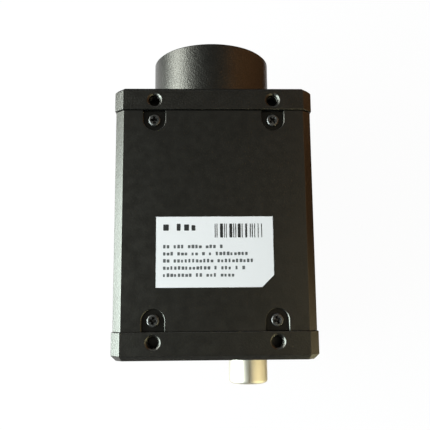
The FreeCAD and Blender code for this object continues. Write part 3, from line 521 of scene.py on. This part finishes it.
class VISIONCAM_OT_housing(bpy.types.Operator):
    """Round the edges of the front housing, main shell and rear plate, and anodise them"""
    bl_idname = "vision_camera.housing"
    bl_label = "Housing"

    def execute(self, context):
        blasted = anodised_finish("blasted_anodising", 0.00011, 0.09)
        smooth = anodised_finish("plate_anodising", 0.00005, 0.05)
        low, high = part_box("main_shell")
        outside = high.z - SIDE_BAND
        # The box given here darkens the screw pockets' floors with painted shade.
        drawn = anodised_finish("drawn_anodising_pocket_shade", 0.00003, 0.03, (outside, high.z - POCKET_FLOOR))

        def machined(edge):
            middle = middle_of(edge)
            near_side = max(abs(middle.x), abs(middle.z)) > outside
            off_seams = all(abs(middle.y - seam) > SEAM_BAND for seam in (low.y, high.y))
            return is_sharp(edge) and near_side and off_seams

        for node, finish in (("front_housing", blasted), ("rear_plate", smooth)):
            piece = copy_node(node, f"{node}_finished")
            bevel_edges(piece, machined, sizes().edge_radius)
            complete(piece, finish, "black_anodised_aluminium", node)
        complete(self.model_shell(low, high, outside), drawn, "black_anodised_aluminium", "main_shell")
        return {"FINISHED"}

    def model_shell(self, low, high, outside):
        """The main shell, a little short at both seams, with chamfered screw pockets and rounded edges."""
        shell = copy_node("main_shell", "main_shell_finished")
        with editing(shell):
            for seam, gap in ((high.y, -sizes().front_gap), (low.y, sizes().rear_gap)):
                pick(shell, "FACE",
                     lambda face: all(abs(vertex.co.y - seam) < EXACT for vertex in face.verts))
                bpy.ops.transform.translate(value=(0, gap, 0))
        ends = (low.y + sizes().rear_gap, high.y - sizes().front_gap)

        def from_end(edge):
            return min(abs(middle_of(edge).y - end) for end in ends)

        def along_shell(edge):
            middle = middle_of(edge)
            return is_sharp(edge) and edge.is_convex and max(abs(middle.x), abs(middle.z)) > outside

        def pocket_rim(edge):
            middle = middle_of(edge)
            on_face = abs(middle.x) < outside and abs(middle.z) > high.z - NEAR
            return along_shell(edge) and on_face and from_end(edge) > NEAR

        def outer_edge(edge):
            in_pocket = abs(middle_of(edge).x) < outside and NEAR <= from_end(edge) < POCKET_REACH
            return along_shell(edge) and not in_pocket

        bevel_edges(shell, pocket_rim, sizes().pocket_chamfer, 1)
        bevel_edges(shell, outer_edge, sizes().edge_radius)
        return shell


def add_thread(name, place, axis, radius, height, pitch, turns, steps):
    """A helical ridge that stands inwards from a bore, starting at the place and running along the axis."""
    bpy.ops.object.select_all(action="DESELECT")
    corner = pitch * THREAD_CORNER
    bpy.ops.mesh.primitive_circle_add(vertices=3, radius=corner, rotation=(math.pi / 2, 0, 0))
    ridge = newest(name)
    with editing(ridge):
        bpy.ops.mesh.select_all(action="SELECT")
        bpy.ops.transform.rotate(value=math.radians(90), orient_axis="Y", center_override=(0, 0, 0))
        bpy.ops.transform.resize(value=(height / (corner * 1.5), 1, 1), center_override=(0, 0, 0))
        bpy.ops.transform.translate(value=(radius, 0, 0))
    apply_modifier(ridge, "SCREW", axis="Z", screw_offset=pitch, iterations=turns, steps=steps,
                   render_steps=steps, use_smooth_shade=False)
    with editing(ridge):
        bpy.ops.mesh.select_all(action="SELECT")
        bpy.ops.mesh.fill_holes(sides=3)
        bpy.ops.mesh.normals_make_consistent(inside=False)
    turn = UP.rotation_difference(axis).to_matrix().to_4x4()
    ridge.data.transform(Matrix.Translation(place) @ turn)
    return ridge


class VISIONCAM_OT_mounting_threads(bpy.types.Operator):
    """Cut a thread in each of the mounting holes"""
    bl_idname = "vision_camera.mounting_threads"
    bl_label = "Mounting Threads"

    def execute(self, context):
        mount = next(item for item in frame["record"]["mounts"] if item["name"] == "top_mounting_holes")
        across, along = mount["dims"]["spacing_x_mm"] * MM / 2, mount["dims"]["spacing_y_mm"] * MM / 2
        centre = Vector(mount["pos_m"])
        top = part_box("front_housing")[1].z
        ridges = []
        for side in (-1, 1):
            for end in (-1, 1):
                for level in (-1, 1):
                    place = Vector((side * across, centre.y + end * along, level * (top - THREAD_START)))
                    ridges.append(add_thread("ridge", place, -level * UP, sizes().hole_radius + 0.00005,
                                             height=0.00025, pitch=sizes().hole_pitch, turns=6, steps=24))
        complete(join("mounting_hole_threads", ridges), anodised_finish("thread_anodising", 0.00005, 0.05),
                 "black_anodised_aluminium")
        return {"FINISHED"}


class VISIONCAM_OT_shell_screws(bpy.types.Operator):
    """Make the shell screws, with cross recesses that stand as they were driven"""
    bl_idname = "vision_camera.shell_screws"
    bl_label = "Shell Screws"

    def execute(self, context):
        finish = Finish("blackened_steel", Metallic=0.9)
        base = colours().screw
        finish.set("Base Color", finish.blend(finish.noise(900, 3), shaded(base, 0.7), shaded(base, 1.5)))
        finish.set("Roughness", finish.spread(finish.noise(1200, 2), 0.25, 0.42))
        finish.bump(finish.noise(4000, 2), 0.2, 0.00003)
        for node, angles in SCREW_ANGLES.items():
            low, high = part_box(node)
            radius = (high.y - low.y) / 2
            across, station = high.x - radius, (high.y + low.y) / 2
            model = self.model_screw(radius, high.z)
            screws = []
            for side, angle in zip((-1, 1), angles):
                for level in (0, 1):
                    flip = Matrix.Rotation(math.pi * level, 4, "Y")
                    turn = Matrix.Rotation(math.radians(angle + LOWER_SCREW_TURN * level), 4, "Z")
                    move = Matrix.Translation((side * across, station, 0))
                    screws.append(copy_of(model, "screw", move @ flip @ turn))
            bpy.data.objects.remove(model)
            complete(join(f"{node}_finished", screws), finish.material, "blackened_screw_steel", node)
        return {"FINISHED"}

    def model_screw(self, radius, top):
        """One screw on the Z axis, with its head's top at the given height."""
        height = sizes().screw_head_height
        seat = Vector((0, 0, top - height))
        screw = add_cylinder("screw_model", seat, radius, height, UP)
        with editing(screw):
            pick(screw, "FACE", facing(-UP, seat))
            bpy.ops.mesh.inset(thickness=radius - SHANK_RADIUS)
            extrude((0, 0, -SHANK_LENGTH))
            pick(screw, "EDGE", lambda edge: is_sharp(edge, 60) and middle_of(edge).z > top - NEAR)
            bpy.ops.mesh.bevel(offset=HEAD_ROUNDING, segments=6, profile=0.5, affect="EDGES")
        arm, half = sizes().recess_arm / 2, sizes().recess_width / 2
        depth = sizes().recess_depth
        for angle in (0, math.pi / 2):
            cutter = add_box("recess_cutter", Vector((-half, -arm, top - depth)),
                             Vector((half, arm, top + 0.0001)))
            with editing(cutter):
                pick(cutter, "FACE", lambda face: face.normal.z < -0.9)
                bpy.ops.transform.resize(value=RECESS_FLOOR, center_override=(0, 0, top - depth))
            cutter.data.transform(Matrix.Rotation(angle, 4, "Z"))
            cut_away(screw, cutter)
        return screw


class VISIONCAM_OT_rating_label(bpy.types.Operator):
    """Print the label with plain marks that say nothing"""
    bl_idname = "vision_camera.rating_label"
    bl_label = "Rating Label"

    def execute(self, context):
        film = Finish("label_film")
        base = colours().label
        film.set("Base Color", film.blend(film.noise(90, 3), shaded(base, 0.96), base))
        film.set("Roughness", film.spread(film.noise(700, 2), 0.4, 0.55))
        film.bump(film.noise(260, 2), 0.05, 0.00005)
        finish_nodes(film.material, "rating_label")

        low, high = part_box("rating_label")
        self.corner = Vector((low.x, high.y, high.z))
        block = self.model_mark()
        chance = random.Random(studio().seed)
        width, length = (high.x - low.x) / MM, (high.y - low.y) / MM
        margin = length * LABEL_MARGIN
        pitch = (length - 2 * margin) / LABEL_LINES
        half = width / 2
        bold = self.row(block, chance, (margin, half - margin), margin, pitch, pitch * 0.8)
        bold += self.bars(block, chance, (half, width - margin), margin, pitch * 2)
        small = []
        for line in range(HEADING_LINES, LABEL_LINES):
            right = margin + (width - 2 * margin) * chance.uniform(0.5, 0.9)
            small += self.row(block, chance, (margin, right), margin + line * pitch, pitch * 0.5, pitch * 0.4)
        bpy.data.objects.remove(block)
        for name, marks, ink in (("label_bold_print", bold, colours().bold_ink),
                                 ("label_small_print", small, colours().ink)):
            finish = moulded_finish(name, ink, 0.5, 0.05)
            complete(join(name, marks), finish, "label_film")
        return {"FINISHED"}

    def model_mark(self):
        """A mark of unit size with rounded corners, as thick as the ink."""
        bpy.ops.object.select_all(action="DESELECT")
        bpy.ops.mesh.primitive_plane_add(size=1)
        mark = newest("mark_model")
        with editing(mark):
            bpy.ops.mesh.select_all(action="SELECT")
            bpy.ops.mesh.bevel(offset=0.12, segments=2, affect="VERTICES")
            bpy.ops.mesh.select_all(action="SELECT")
            extrude((0, 0, sizes().ink_thickness))
            bpy.ops.mesh.select_all(action="SELECT")
            bpy.ops.mesh.normals_make_consistent(inside=False)
        return mark

    def mark(self, block, left, top, width, height):
        """One mark, placed and sized in millimetres from the label's left front corner."""
        middle = self.corner + Vector((left + width / 2, -top - height / 2, 0)) * MM
        scale = Matrix.Diagonal((width * MM, height * MM, 1, 1))
        return copy_of(block, "mark", Matrix.Translation(middle) @ scale)

    def row(self, block, chance, ends, top, height, width):
        """Marks of uneven size that stand on one line, in groups of chance length."""
        left, right = ends
        marks = []
        while left + width < right:
            tall = height * chance.choice((0.78, 0.9, 1.0))
            wide = width * chance.uniform(0.65, 1.0)
            marks.append(self.mark(block, left, top + height - tall, wide, tall))
            left += width * chance.choice((1.3, 1.3, 1.3, 2.4))
        return marks

    def bars(self, block, chance, ends, top, height):
        """Bars of random widths."""
        left, right = ends
        marks = []
        while left + max(BAR_WIDTHS) < right:
            bar = chance.choice(BAR_WIDTHS)
            marks.append(self.mark(block, left, top, bar, height))
            left += bar + chance.choice(BAR_GAPS)
        return marks


class VISIONCAM_OT_lens_mount(bpy.types.Operator):
    """Thread the lens mount's ring, and finish the filter and the image sensor behind it"""
    bl_idname = "vision_camera.lens_mount"
    bl_label = "Lens Mount"

    def execute(self, context):
        low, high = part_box("lens_mount_ring")
        steel = turned_finish("turned_steel", (0.60, 0.59, 0.57), 0.3)
        ring = copy_node("lens_mount_ring", "lens_mount_ring_finished")
        bevel_edges(ring,
                    lambda edge: is_sharp(edge) and edge.is_convex and middle_of(edge).y > high.y - NEAR,
                    0.0001)
        pitch = sizes().lens_thread_pitch
        start = Vector((0, high.y - pitch * 0.8, 0))
        turns = int((high.y - low.y) / pitch) - 1
        ridge = add_thread("lens_thread", start, BACKWARDS, sizes().lens_thread_radius + 0.00003,
                           height=0.00042, pitch=pitch, turns=turns, steps=96)
        complete(join("lens_mount_ring_finished", [ring, ridge]), steel, "stainless_steel", "lens_mount_ring")
        finish_nodes(glass_finish("coated_glass", colours().filter), "filter_glass", "sensor_cover_glass")
        finish_nodes(moulded_finish("fired_ceramic", (0.20, 0.17, 0.15), 0.6), "sensor_package")
        finish_nodes(self.sensor_finish(), "sensor_die")
        return {"FINISHED"}

    def sensor_finish(self):
        """Fine rows of light-sensitive cells, with a faint change of hue across them."""
        finish = Finish("silicon", Metallic=0.6, Roughness=0.22)
        hue = finish.blend(finish.noise(70, 1), (0.07, 0.10, 0.13), (0.12, 0.08, 0.13))
        cells = finish.add("ShaderNodeTexChecker")
        finish.feed(cells.inputs["Vector"], finish.place)
        finish.feed(cells.inputs["Scale"], 12000.0)
        finish.set("Base Color", finish.blend(cells.outputs["Fac"], hue, (0.03, 0.045, 0.05)))
        return finish.material


class VISIONCAM_OT_seals(bpy.types.Operator):
    """Finish the gaskets and the foam seal"""
    bl_idname = "vision_camera.seals"
    bl_label = "Seals"

    def execute(self, context):
        rubber = moulded_finish("seal_rubber", (0.03, 0.03, 0.03), 0.75)
        finish_nodes(rubber, "front_gasket", "rear_gasket", "filter_gasket", "sensor_seal")
        return {"FINISHED"}


class VISIONCAM_OT_circuit_boards(bpy.types.Operator):
    """Finish the circuit boards, what they carry, the heat spreader, and the stack's standoffs and screws"""
    bl_idname = "vision_camera.circuit_boards"
    bl_label = "Circuit Boards"

    def execute(self, context):
        finish_nodes(board_finish(), "sensor_board", "processor_board", "power_board", "interface_board")
        finish_nodes(moulded_finish("chip_epoxy", (0.018, 0.018, 0.02), 0.55),
                     "processor_chip", "memory_chips", "network_chip", "inductors")
        finish_nodes(moulded_finish("link_plastic", (0.03, 0.028, 0.026), 0.5),
                     "board_link_plugs", "board_link_sockets")
        finish_nodes(moulded_finish("tantalum_block", (0.62, 0.36, 0.08), 0.45), "capacitors")
        finish_nodes(moulded_finish("filled_silicone", (0.22, 0.34, 0.47), 0.8), "thermal_pad")
        finish_nodes(plated_finish("milled_aluminium", (0.72, 0.72, 0.73), 0.38), "heat_spreader")
        finish_nodes(plated_finish("plated_brass", (0.72, 0.68, 0.58), 0.3),
                     "board_spacers", "front_standoffs", "middle_standoffs", "rear_standoffs")
        finish_nodes(plated_finish("screw_steel", (0.55, 0.55, 0.54), 0.3),
                     "sensor_board_screws", "interface_board_screws")
        return {"FINISHED"}


class VISIONCAM_OT_ethernet_jack(bpy.types.Operator):
    """Round the edges of the Ethernet jack's block, and finish it, its can and its contacts"""
    bl_idname = "vision_camera.ethernet_jack"
    bl_label = "Ethernet Jack"

    def execute(self, context):
        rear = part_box("jack_insert")[0].y
        block = copy_node("jack_insert", "jack_insert_finished")
        bevel_edges(block, lambda edge: is_sharp(edge) and edge.is_convex and middle_of(edge).y < rear + NEAR,
                    0.0002)
        complete(block, moulded_finish("jack_plastic", (0.016, 0.016, 0.016), 0.42), "black_plastic",
                 "jack_insert")
        finish_nodes(plated_finish("tin_plate", (0.70, 0.70, 0.68), 0.3), "jack_shell")
        finish_nodes(plated_finish("contact_gold", (0.83, 0.62, 0.28), 0.22), "jack_contacts")
        return {"FINISHED"}


class VISIONCAM_OT_power_connector(bpy.types.Operator):
    """Turn the round connector's shell, with a rounded rim and a key groove, and set its pins"""
    bl_idname = "vision_camera.power_connector"
    bl_label = "Power Connector"

    def execute(self, context):
        nickel = plated_finish("satin_nickel", colours().nickel, 0.42)
        complete(self.model_shell(), nickel, "nickel_plate", "power_connector_shell")
        finish_nodes(nickel, "power_connector_nut")
        finish_nodes(moulded_finish("insulator_plastic", (0.014, 0.014, 0.014), 0.4),
                     "power_connector_insulator")
        complete(self.model_pins(), plated_finish("pin_gold", (0.83, 0.62, 0.28), 0.2), "gold_plate",
                 "power_connector_pins")
        return {"FINISHED"}

    def model_shell(self):
        size = sizes()
        low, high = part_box("power_connector_shell")
        rear_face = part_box("rear_plate")[0].y
        radius = (high.x - low.x) / 2
        centre = Vector(((low.x + high.x) / 2, rear_face, 0))
        depth = rear_face - low.y
        shell = add_cylinder("power_connector_shell_finished", centre, radius, depth, vertices=96)
        end = centre + BACKWARDS * depth
        neck_end = centre - BACKWARDS * size.connector_neck_length
        floor = end - BACKWARDS * size.connector_bore_depth
        with editing(shell):
            pick(shell, "FACE", facing(BACKWARDS, end))
            bpy.ops.mesh.inset(thickness=radius - size.connector_bore)
            extrude(floor - end)
            bpy.ops.mesh.inset(thickness=size.connector_bore - size.connector_neck_bore)
            extrude(neck_end - floor)
            bpy.ops.mesh.delete(type="ONLY_FACE")
            pick(shell, "FACE", facing(-BACKWARDS, centre))
            bpy.ops.mesh.inset(thickness=radius - size.connector_neck)
            extrude(neck_end - centre)
            bpy.ops.mesh.inset(thickness=size.connector_neck - size.connector_neck_bore)
            bpy.ops.mesh.delete(type="ONLY_FACE")
            bpy.ops.mesh.select_all(action="SELECT")
            bpy.ops.mesh.remove_doubles(threshold=EXACT)
        bevel_edges(shell, around(centre, radius, end.y), size.rim_radius, 6)
        bevel_edges(shell, around(centre, size.connector_bore, end.y), 0.0003, 3)
        groove = add_box("groove_cutter", end + Vector((-0.00022, -0.001, radius - 0.0003)),
                         centre + Vector((0.00022, 0, radius + 0.001)))
        cut_away(shell, groove)
        return shell

    def model_pins(self):
        """Nine pins on an outer circle and three on an inner one, each with a rounded tip."""
        low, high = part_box("power_connector_pins")
        radius = sizes().pin_radius
        centre = Vector(((low.x + high.x) / 2, high.y, 0))
        outer = (high.x - low.x) / 2 - radius
        model = add_cylinder("pin_model", Vector((0, high.y, 0)), radius, high.y - low.y, vertices=20)
        bevel_edges(model, lambda edge: is_sharp(edge, 60) and middle_of(edge).y < low.y + NEAR,
                    radius * 0.7, 4)
        pins = []
        for count, circle in ((9, outer), (3, outer * 0.424)):
            for i in range(count):
                angle = math.tau * (0.25 + (i + 0.5) / count)
                place = Vector((centre.x + math.cos(angle) * circle, 0, math.sin(angle) * circle))
                pins.append(copy_of(model, "pin", Matrix.Translation(place)))
        bpy.data.objects.remove(model)
        return join("power_connector_pins_finished", pins)


class VISIONCAM_OT_status_light(bpy.types.Operator):
    """Round the light pipe's end, and finish it and the LED"""
    bl_idname = "vision_camera.status_light"
    bl_label = "Status Light"

    def execute(self, context):
        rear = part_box("status_light_pipe")[0].y
        pipe = copy_node("status_light_pipe", "status_light_pipe_finished")
        bevel_edges(pipe, lambda edge: is_sharp(edge, 60) and middle_of(edge).y < rear + NEAR, 0.00018, 3)
        clear = glass_finish("clear_plastic", (0.86, 0.92, 0.84), 0.12)
        complete(pipe, clear, "clear_plastic", "status_light_pipe")
        finish_nodes(moulded_finish("led_resin", (0.70, 0.72, 0.62), 0.35), "status_led")
        return {"FINISHED"}


# ---- studio ----

def add_lamp(name, place, target, power, width, height, colour_in):
    bpy.ops.object.light_add(type="AREA", location=place)
    lamp = bpy.context.active_object
    lamp.name = name
    lamp.data.shape = "RECTANGLE"
    lamp.data.size, lamp.data.size_y = width, height
    lamp.data.energy = power
    lamp.data.color = colour_in
    lamp.visible_camera = False
    lamp.rotation_euler = (target - lamp.location).to_track_quat("-Z", "Y").to_euler()


class VISIONCAM_OT_stage(bpy.types.Operator):
    """Set up the pale floor and wall, the lamps and the camera"""
    bl_idname = "vision_camera.stage"
    bl_label = "Studio"

    def execute(self, context):
        scene = bpy.context.scene
        scene.view_settings.view_transform = "Standard"
        body = (Vector(cad_box[0]) + Vector(cad_box[1])) / 2
        self.add_room(cad_box[0][2], body)
        self.light_world(scene)
        # Each lamp's name, place, target, power, width, height and colour.
        for lamp in (
            ("window_lamp", Vector((-0.5, body.y - 0.135, 0.17)), Vector((0, body.y - 0.135, 0.17)),
             studio().window_power, 0.5, 0.4, (0.84, 0.98, 1.0)),
            ("fill_lamp", Vector((0.1, 0.9, 0.45)), body, studio().fill_power, 0.6, 0.4, (1, 1, 1)),
            ("front_window_lamp", Vector((-0.44, 0.2, 0.16)), Vector((0, 0, 0)),
             studio().front_power, 0.25, 0.25, (0.95, 1.0, 0.99)),
            ("upper_lamp", Vector((-0.5, body.y - 0.05, 0.62)), body,
             studio().upper_power, 0.5, 0.4, (0.97, 1.0, 0.98)),
            ("warm_lamp", Vector((0.34, body.y, 0.6)), body,
             studio().warm_power, 0.4, 0.35, (1.0, 0.84, 0.52)),
        ):
            add_lamp(*lamp)
        self.add_cards(cad_box[0][2], body)
        self.add_camera(scene)
        return {"FINISHED"}

    def add_card(self, name, boxes, front, rear):
        """A matt card that only reflections see, in two tones from the front to the rear."""
        card = join(name, [add_box(name, low, high) for low, high in boxes])
        card.visible_camera = card.visible_diffuse = card.visible_shadow = False
        finish = Finish(f"{name}_paper", Roughness=0.9)
        split = finish.add("ShaderNodeSeparateXYZ")
        finish.feed(split.inputs["Vector"], finish.place)
        middle = (cad_box[0][1] + cad_box[1][1]) / 2
        fade = finish.spread(split.outputs["Y"], 0.0, 1.0, middle - CARD_FADE, middle)
        finish.set("Base Color", finish.blend(finish.math("POWER", fade, 0.6), rear, front))
        card.data.materials.append(finish.material)

    def add_cards(self, level, body):
        """A brown card at the right, and dark ones in front and behind, which the edges there reflect.

        Each card is made of boxes, given by their lowest and highest corners.
        """
        self.add_card("brown_card", (
            (Vector((0.088, body.y - 0.2, level)), Vector((0.09, body.y + 0.2, 0.14))),
            (Vector((0.042, body.y - 0.2, level)), Vector((0.088, body.y + 0.2, level + 0.001))),
        ), colours().card_front, colours().card_rear)
        self.add_card("dark_card", (
            (Vector((-0.2, body.y + 0.09, level)), Vector((0.2, body.y + 0.45, level + 0.0005))),
            (Vector((-0.2, body.y + 0.45, level)), Vector((0.2, body.y + 0.455, 0.08))),
            (Vector((-0.2, body.y - 0.27, level)), Vector((0.2, body.y - 0.265, 0.16))),
        ), colours().card_dark, colours().card_dark)

    def add_room(self, level, body):
        """A round white floor with a low wall, both white to the camera and in reflections."""
        room = add_cylinder("studio_room", Vector((body.x, body.y, level)), ROOM_RADIUS, ROOM_HEIGHT, UP, 128)
        with editing(room):
            pick(room, "FACE", facing(UP, Vector((0, 0, level + ROOM_HEIGHT))))
            bpy.ops.mesh.delete(type="FACE")
            bpy.ops.mesh.select_all(action="SELECT")
            bpy.ops.mesh.flip_normals()
        finish = bpy.data.materials.new("pale_paper")
        finish.use_nodes = True
        tree = finish.node_tree
        paper = tree.nodes["Principled BSDF"]
        paper.inputs["Base Color"].default_value = (0.86, 0.86, 0.86, 1)
        paper.inputs["Roughness"].default_value = 0.9
        glow = tree.nodes.new("ShaderNodeEmission")
        glow.inputs["Strength"].default_value = 1.0
        mix = tree.nodes.new("ShaderNodeMixShader")
        seen = tree.nodes.new("ShaderNodeLightPath")
        total = seen.outputs["Is Camera Ray"]
        for name in ("Is Glossy Ray", "Is Transmission Ray"):
            node = tree.nodes.new("ShaderNodeMath")
            node.operation = "MAXIMUM"
            tree.links.new(total, node.inputs[0])
            tree.links.new(seen.outputs[name], node.inputs[1])
            total = node.outputs["Value"]
        share = tree.nodes.new("ShaderNodeMath")
        share.operation = "MULTIPLY"
        share.inputs[1].default_value = PAPER_GLOW
        tree.links.new(total, share.inputs[0])
        tree.links.new(share.outputs["Value"], mix.inputs["Fac"])
        tree.links.new(paper.outputs["BSDF"], mix.inputs[1])
        tree.links.new(glow.outputs["Emission"], mix.inputs[2])
        tree.links.new(mix.outputs["Shader"], tree.nodes["Material Output"].inputs["Surface"])
        room.data.materials.append(finish)

    def light_world(self, scene):
        world = bpy.data.worlds.new("studio_sky")
        scene.world = world
        world.use_nodes = True
        background = world.node_tree.nodes["Background"]
        background.inputs["Color"].default_value = (1, 1, 0.97, 1)
        background.inputs["Strength"].default_value = studio().sky

    def add_camera(self, scene):
        """Looks down at the label side from slightly behind the middle."""
        bpy.ops.object.camera_add()
        camera = bpy.context.active_object
        camera.name = "studio_camera"
        camera.data.sensor_width = 36
        camera.data.lens = studio().focal_length
        camera.data.clip_start = 0.01
        about_x, about_y, about_z = (Matrix.Rotation(math.radians(degrees), 4, axis)
                                     for degrees, axis in zip(CAMERA_TURNS, "XYZ"))
        camera.matrix_world = Matrix.Translation(Vector(CAMERA_PLACE) * MM) @ (about_x @ about_y @ about_z)
        scene.camera = camera


OPERATORS = (
    VISIONCAM_OT_housing, VISIONCAM_OT_mounting_threads, VISIONCAM_OT_shell_screws,
    VISIONCAM_OT_rating_label, VISIONCAM_OT_lens_mount, VISIONCAM_OT_seals, VISIONCAM_OT_circuit_boards,
    VISIONCAM_OT_ethernet_jack, VISIONCAM_OT_power_connector, VISIONCAM_OT_status_light, VISIONCAM_OT_stage,
)


class VISIONCAM_PT_panel(bpy.types.Panel):
    """Lists the steps that make the camera"""
    bl_idname = "VISIONCAM_PT_panel"
    bl_label = "Vision Camera"
    bl_space_type = "VIEW_3D"
    bl_region_type = "UI"
    bl_category = "Vision Camera"

    def draw(self, context):
        for operator in OPERATORS:
            self.layout.operator(operator.bl_idname)
        for settings in (sizes(), colours(), studio()):
            for name in settings.bl_rna.properties.keys():
                if name not in ("rna_type", "name"):
                    self.layout.prop(settings, name)


CLASSES = (VisionCameraSizes, VisionCameraColours, VisionCameraStudio, *OPERATORS, VISIONCAM_PT_panel)


def register():
    for item in CLASSES:
        bpy.utils.register_class(item)
    bpy.types.Scene.vision_camera_sizes = PointerProperty(type=VisionCameraSizes)
    bpy.types.Scene.vision_camera_colours = PointerProperty(type=VisionCameraColours)
    bpy.types.Scene.vision_camera_studio = PointerProperty(type=VisionCameraStudio)


def unregister():
    del bpy.types.Scene.vision_camera_studio
    del bpy.types.Scene.vision_camera_colours
    del bpy.types.Scene.vision_camera_sizes
    for item in reversed(CLASSES):
        bpy.utils.unregister_class(item)


def main():
    register()
    bpy.ops.vision_camera.housing()
    bpy.ops.vision_camera.mounting_threads()
    bpy.ops.vision_camera.shell_screws()
    bpy.ops.vision_camera.rating_label()
    bpy.ops.vision_camera.lens_mount()
    bpy.ops.vision_camera.seals()
    bpy.ops.vision_camera.circuit_boards()
    bpy.ops.vision_camera.ethernet_jack()
    bpy.ops.vision_camera.power_connector()
    bpy.ops.vision_camera.status_light()
    bpy.ops.vision_camera.stage()


if __name__ == "__main__":
    main()
